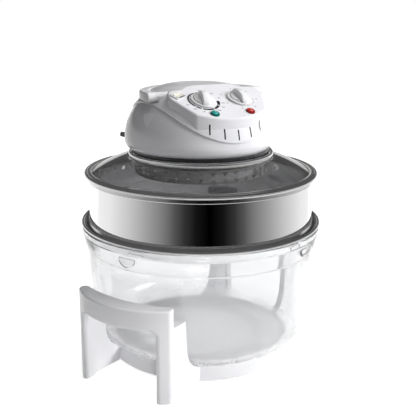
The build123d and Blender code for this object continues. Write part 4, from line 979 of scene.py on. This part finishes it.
# Painted shade: the crosses are near black, for the dark inside a recess.
recess_shade_tones = (0.02, 0.02, 0.02), (0.05, 0.05, 0.05)
painted_recess_shade = powdery("painted_recess_shade_black", *recess_shade_tones, 0.5, 900.0, 0.00001)
for group, body in (("handle_screws", "base"), ("pan_screws", "lid")):
    build = bmesh.new()
    for low, high in island_boxes(nodes[group]):
        middle = (low + high) / 2
        reach = (high.x - low.x) * cross_share
        for turn in (30.0, 120.0):
            matrix = (
                Matrix.Translation((middle.x, middle.y, low.z))
                @ Matrix.Rotation(radians(turn), 4, "Z")
                @ Matrix.Diagonal((reach, reach * arm_share, cross_depth, 1.0))
            )
            bmesh.ops.create_cube(build, size=1.0, matrix=matrix)
    make_piece(build, f"{group}_painted_recess_shades", painted_recess_shade, body)

# %% [markdown]
# ## Floor and backdrop
# A catalogue picture stands on white paper. The paper is pale and matt for the light, and glows
# only to the camera and in reflections, so the page gets white and nothing else gets brighter.
# The world does the same. It could be one bright world alone, but then a white oven on white
# paper has no shape, so the world is dim, and soft lamps model the form.

# %% Floor and world
def seen_by_eyes(tree):
    """1 for rays that the camera, a mirror or glass sends out, and 0 for the light's own."""
    path = tree.nodes.new("ShaderNodeLightPath")
    seen = path.outputs["Is Camera Ray"]
    for ray in ("Is Glossy Ray", "Is Transmission Ray"):
        either = tree.nodes.new("ShaderNodeMath")
        either.operation = "MAXIMUM"
        tree.links.new(seen, either.inputs[0])
        tree.links.new(path.outputs[ray], either.inputs[1])
        seen = either.outputs["Value"]
    return seen


def stage_piece(build, name, finish, unseen=()):
    """Turn a bmesh into a piece of the studio, hidden from the kinds of ray in unseen."""
    mesh = bpy.data.meshes.new(name)
    build.to_mesh(mesh)
    build.free()
    mesh.materials.append(finish)
    piece = bpy.data.objects.new(name, mesh)
    bpy.context.scene.collection.objects.link(piece)
    for ray in unseen:
        setattr(piece, f"visible_{ray}", False)
    return piece


def between(tree, share, low, high):
    """A number that runs from low to high as share runs from 0 to 1."""
    level = tree.nodes.new("ShaderNodeMapRange")
    level.inputs["To Min"].default_value = low
    level.inputs["To Max"].default_value = high
    tree.links.new(share, level.inputs["Value"])
    return level.outputs["Result"]


# The glow is weaker near the oven than far off. This paints the paper a little darker round the
# oven, so that the real shadow there still shows.
near_glow, far_glow = 0.83, 0.98
glow_reaches = (0.3, 1.4)
paper = new_finish("paper_sweep", (0.56, 0.56, 0.56), 0.9)
relief(paper, noise(paper, place(paper), scale=600.0), depth=0.00005, strength=0.3)
distance = length_of(paper, place(paper))
glow = ranged(paper, distance, glow_reaches, (near_glow, far_glow))
glow = maths(paper, "MULTIPLY", glow, seen_by_eyes(paper.node_tree))
glow = node(paper, "ShaderNodeEmission", [("Strength", glow)]).outputs["Emission"]
lit = node(paper, "ShaderNodeAddShader", [(0, shader_of(paper).outputs["BSDF"]), (1, glow)])
show(paper, lit.outputs["Shader"])

build = bmesh.new()
bmesh.ops.create_grid(build, x_segments=8, y_segments=8, size=8.0)
floor = stage_piece(build, "floor", paper)

room_light = 0.135
world = bpy.data.worlds.new("room")
bpy.context.scene.world = world
world.use_nodes = True
tree = world.node_tree
tree.nodes.clear()
sky = tree.nodes.new("ShaderNodeBackground")
sky.inputs["Color"].default_value = (1.0, 1.0, 1.0, 1.0)
tree.links.new(between(tree, seen_by_eyes(tree), room_light, 1.0), sky.inputs["Strength"])
world_output = tree.nodes.new("ShaderNodeOutputWorld")
tree.links.new(sky.outputs["Background"], world_output.inputs["Surface"])
print("floor and world ready")

# %% [markdown]
# ## Lamps
# One large lamp stands at the right front and gives the form. A larger one overhead softens it,
# and a weak, narrow one lifts the handle that points at the viewer. None is seen in reflections,
# where it would put a white square on the rims or a veil on the lid. So polished steel shows
# only the paper, the world and the flags that follow.

# %% Lamps
def soft_lamp(name, spot, aim, size, watts, beam=180.0):
    data = bpy.data.lights.new(name, "AREA")
    data.shape = "RECTANGLE"
    data.size, data.size_y = size
    data.energy = watts
    data.spread = radians(beam)
    lamp = bpy.data.objects.new(name, data)
    lamp.location = spot
    lamp.rotation_euler = (Vector(aim) - Vector(spot)).to_track_quat("-Z", "Y").to_euler()
    lamp.visible_glossy = False
    bpy.context.scene.collection.objects.link(lamp)


soft_lamp("right_softbox", (0.7, -1.85, 1.15), (0.0, 0.0, 0.3), (1.1, 1.1), 46.0)
soft_lamp("top_softbox", (0.6, -0.5, 1.9), (0.0, 0.0, 0.2), (2.2, 2.2), 22.0)
soft_lamp("low_softbox", (-1.35, -0.95, 0.36), (-0.21, -0.04, 0.1), (0.5, 0.3), 0.2, 20.0)
print("lamps ready")

# %% [markdown]
# ## The flag that darkens the ring
# A mirror shows the room. The polished ring stands upright and is seen from above, so it shows
# the floor: the middle shows the floor in front, and the edges the floor at the sides. A flag, as
# photographers call a dark sheet, lies there and fades to white at its ends. It gives the ring its
# soft fall from white to black. It is a flat ring sector, made by spinning an edge about the
# oven's axis, and only reflections see it, so that it takes no light from the picture.

# %% Dark flag
flag_reach = (0.45, 2.6)
flag_lift = 0.002
flag_middle = radians(-138.0)
flag_span = radians(250.0)
only_mirrored = ("camera", "diffuse", "transmission", "shadow")


def spin_edge(build, first, last, sweep, steps):
    """Sweep the edge between two points about the oven's axis."""
    ends = [build.verts.new(first), build.verts.new(last)]
    bmesh.ops.spin(
        build,
        geom=[*ends, build.edges.new(ends)],
        cent=(0, 0, 0),
        axis=(0, 0, 1),
        angle=sweep,
        steps=steps,
        use_merge=False,
    )
    bmesh.ops.recalc_face_normals(build, faces=build.faces)


def point_at(reach, bearing, height):
    return (reach * cos(bearing), reach * sin(bearing), height)


build = bmesh.new()
flag_start = flag_middle - flag_span / 2
near, far = (point_at(reach, flag_start, flag_lift) for reach in flag_reach)
spin_edge(build, near, far, flag_span, 60)

flag_paint = new_finish("flag_paint", (0, 0, 0), 1.0)
spot = place(flag_paint, turn=flag_middle)
axes = node(flag_paint, "ShaderNodeSeparateXYZ", [("Vector", spot)])
bearing = maths(flag_paint, "ARCTAN2", axes.outputs["Y"], axes.outputs["X"])
away = maths(flag_paint, "ABSOLUTE", bearing)
share = ranged(flag_paint, away, (0.0, flag_span / 2), (0.0, 1.0))
fade = node(flag_paint, "ShaderNodeValToRGB", [("Fac", share)])
fade.color_ramp.elements[0].color = (0, 0, 0, 1)
fade.color_ramp.elements[1].color = (1, 1, 1, 1)
fade_stops = {0.10: 0.008, 0.18: 0.036, 0.25: 0.095, 0.32: 0.2, 0.46: 0.39, 0.63: 0.66, 0.83: 0.92}
for position, value in fade_stops.items():
    stop = fade.color_ramp.elements.new(position)
    stop.color = (value, value, value, 1)
colour = [("Color", fade.outputs["Color"]), ("Strength", 1.0)]
show(flag_paint, node(flag_paint, "ShaderNodeEmission", colour).outputs["Emission"])
flag = stage_piece(build, "dark_flag", flag_paint, only_mirrored)
print("flag spans", round(flag_span * 180 / pi), "degrees")

# %% [markdown]
# A second flag hangs over the oven like a lampshade. The rolled rims and the tinted lid look up,
# so it draws the dark lines along the rims and keeps the lid deep grey. Its cloth glows a little,
# by folds, because an even black would leave the rims without form.

# %% Ceiling flag
hood_foot, hood_top, hood_depth = 3.4, 2.4, 1.8
hood_middle, mouth_height = 1.55, 0.7
fold_glows = (0.08, 0.18)
build = bmesh.new()
hood = Matrix.Translation((0.0, 0.0, hood_middle))
add_cylinder(build, hood_foot, hood_top, hood_depth, hood)
mouth = [face for face in build.faces if face.calc_center_median().z < mouth_height]
bmesh.ops.delete(build, geom=mouth, context="FACES_ONLY")
cloth = new_finish("hood_cloth", (0.0, 0.0, 0.0), 1.0)
folds = noise(cloth, place(cloth), scale=1.2)
shade = ranged(cloth, folds, (0.0, 1.0), fold_glows)
show(cloth, node(cloth, "ShaderNodeEmission", [("Strength", shade)]).outputs["Emission"])
ceiling = stage_piece(build, "ceiling_flag", cloth, only_mirrored)
print("ceiling flag hung")

# %% [markdown]
# A third flag, a grey screen curved round the left side, takes the room's light away there, so
# that the white mouldings fall to grey on that side. Neither the camera nor a mirror sees it.

# %% Side flag
screen_radius, screen_height = 0.62, 0.95
screen_start, screen_span = radians(88.0), radians(95.0)
build = bmesh.new()
foot, head = (point_at(screen_radius, screen_start, z) for z in (flag_lift, screen_height))
spin_edge(build, foot, head, screen_span, 30)
greys = (0.1, 0.1, 0.1), (0.14, 0.14, 0.14)
flag_cloth = powdery("flag_cloth", *greys, 0.9, 30.0, 0.0005)
screen = stage_piece(build, "side_flag", flag_cloth, ("camera", "glossy", "transmission"))
print("side flag up")
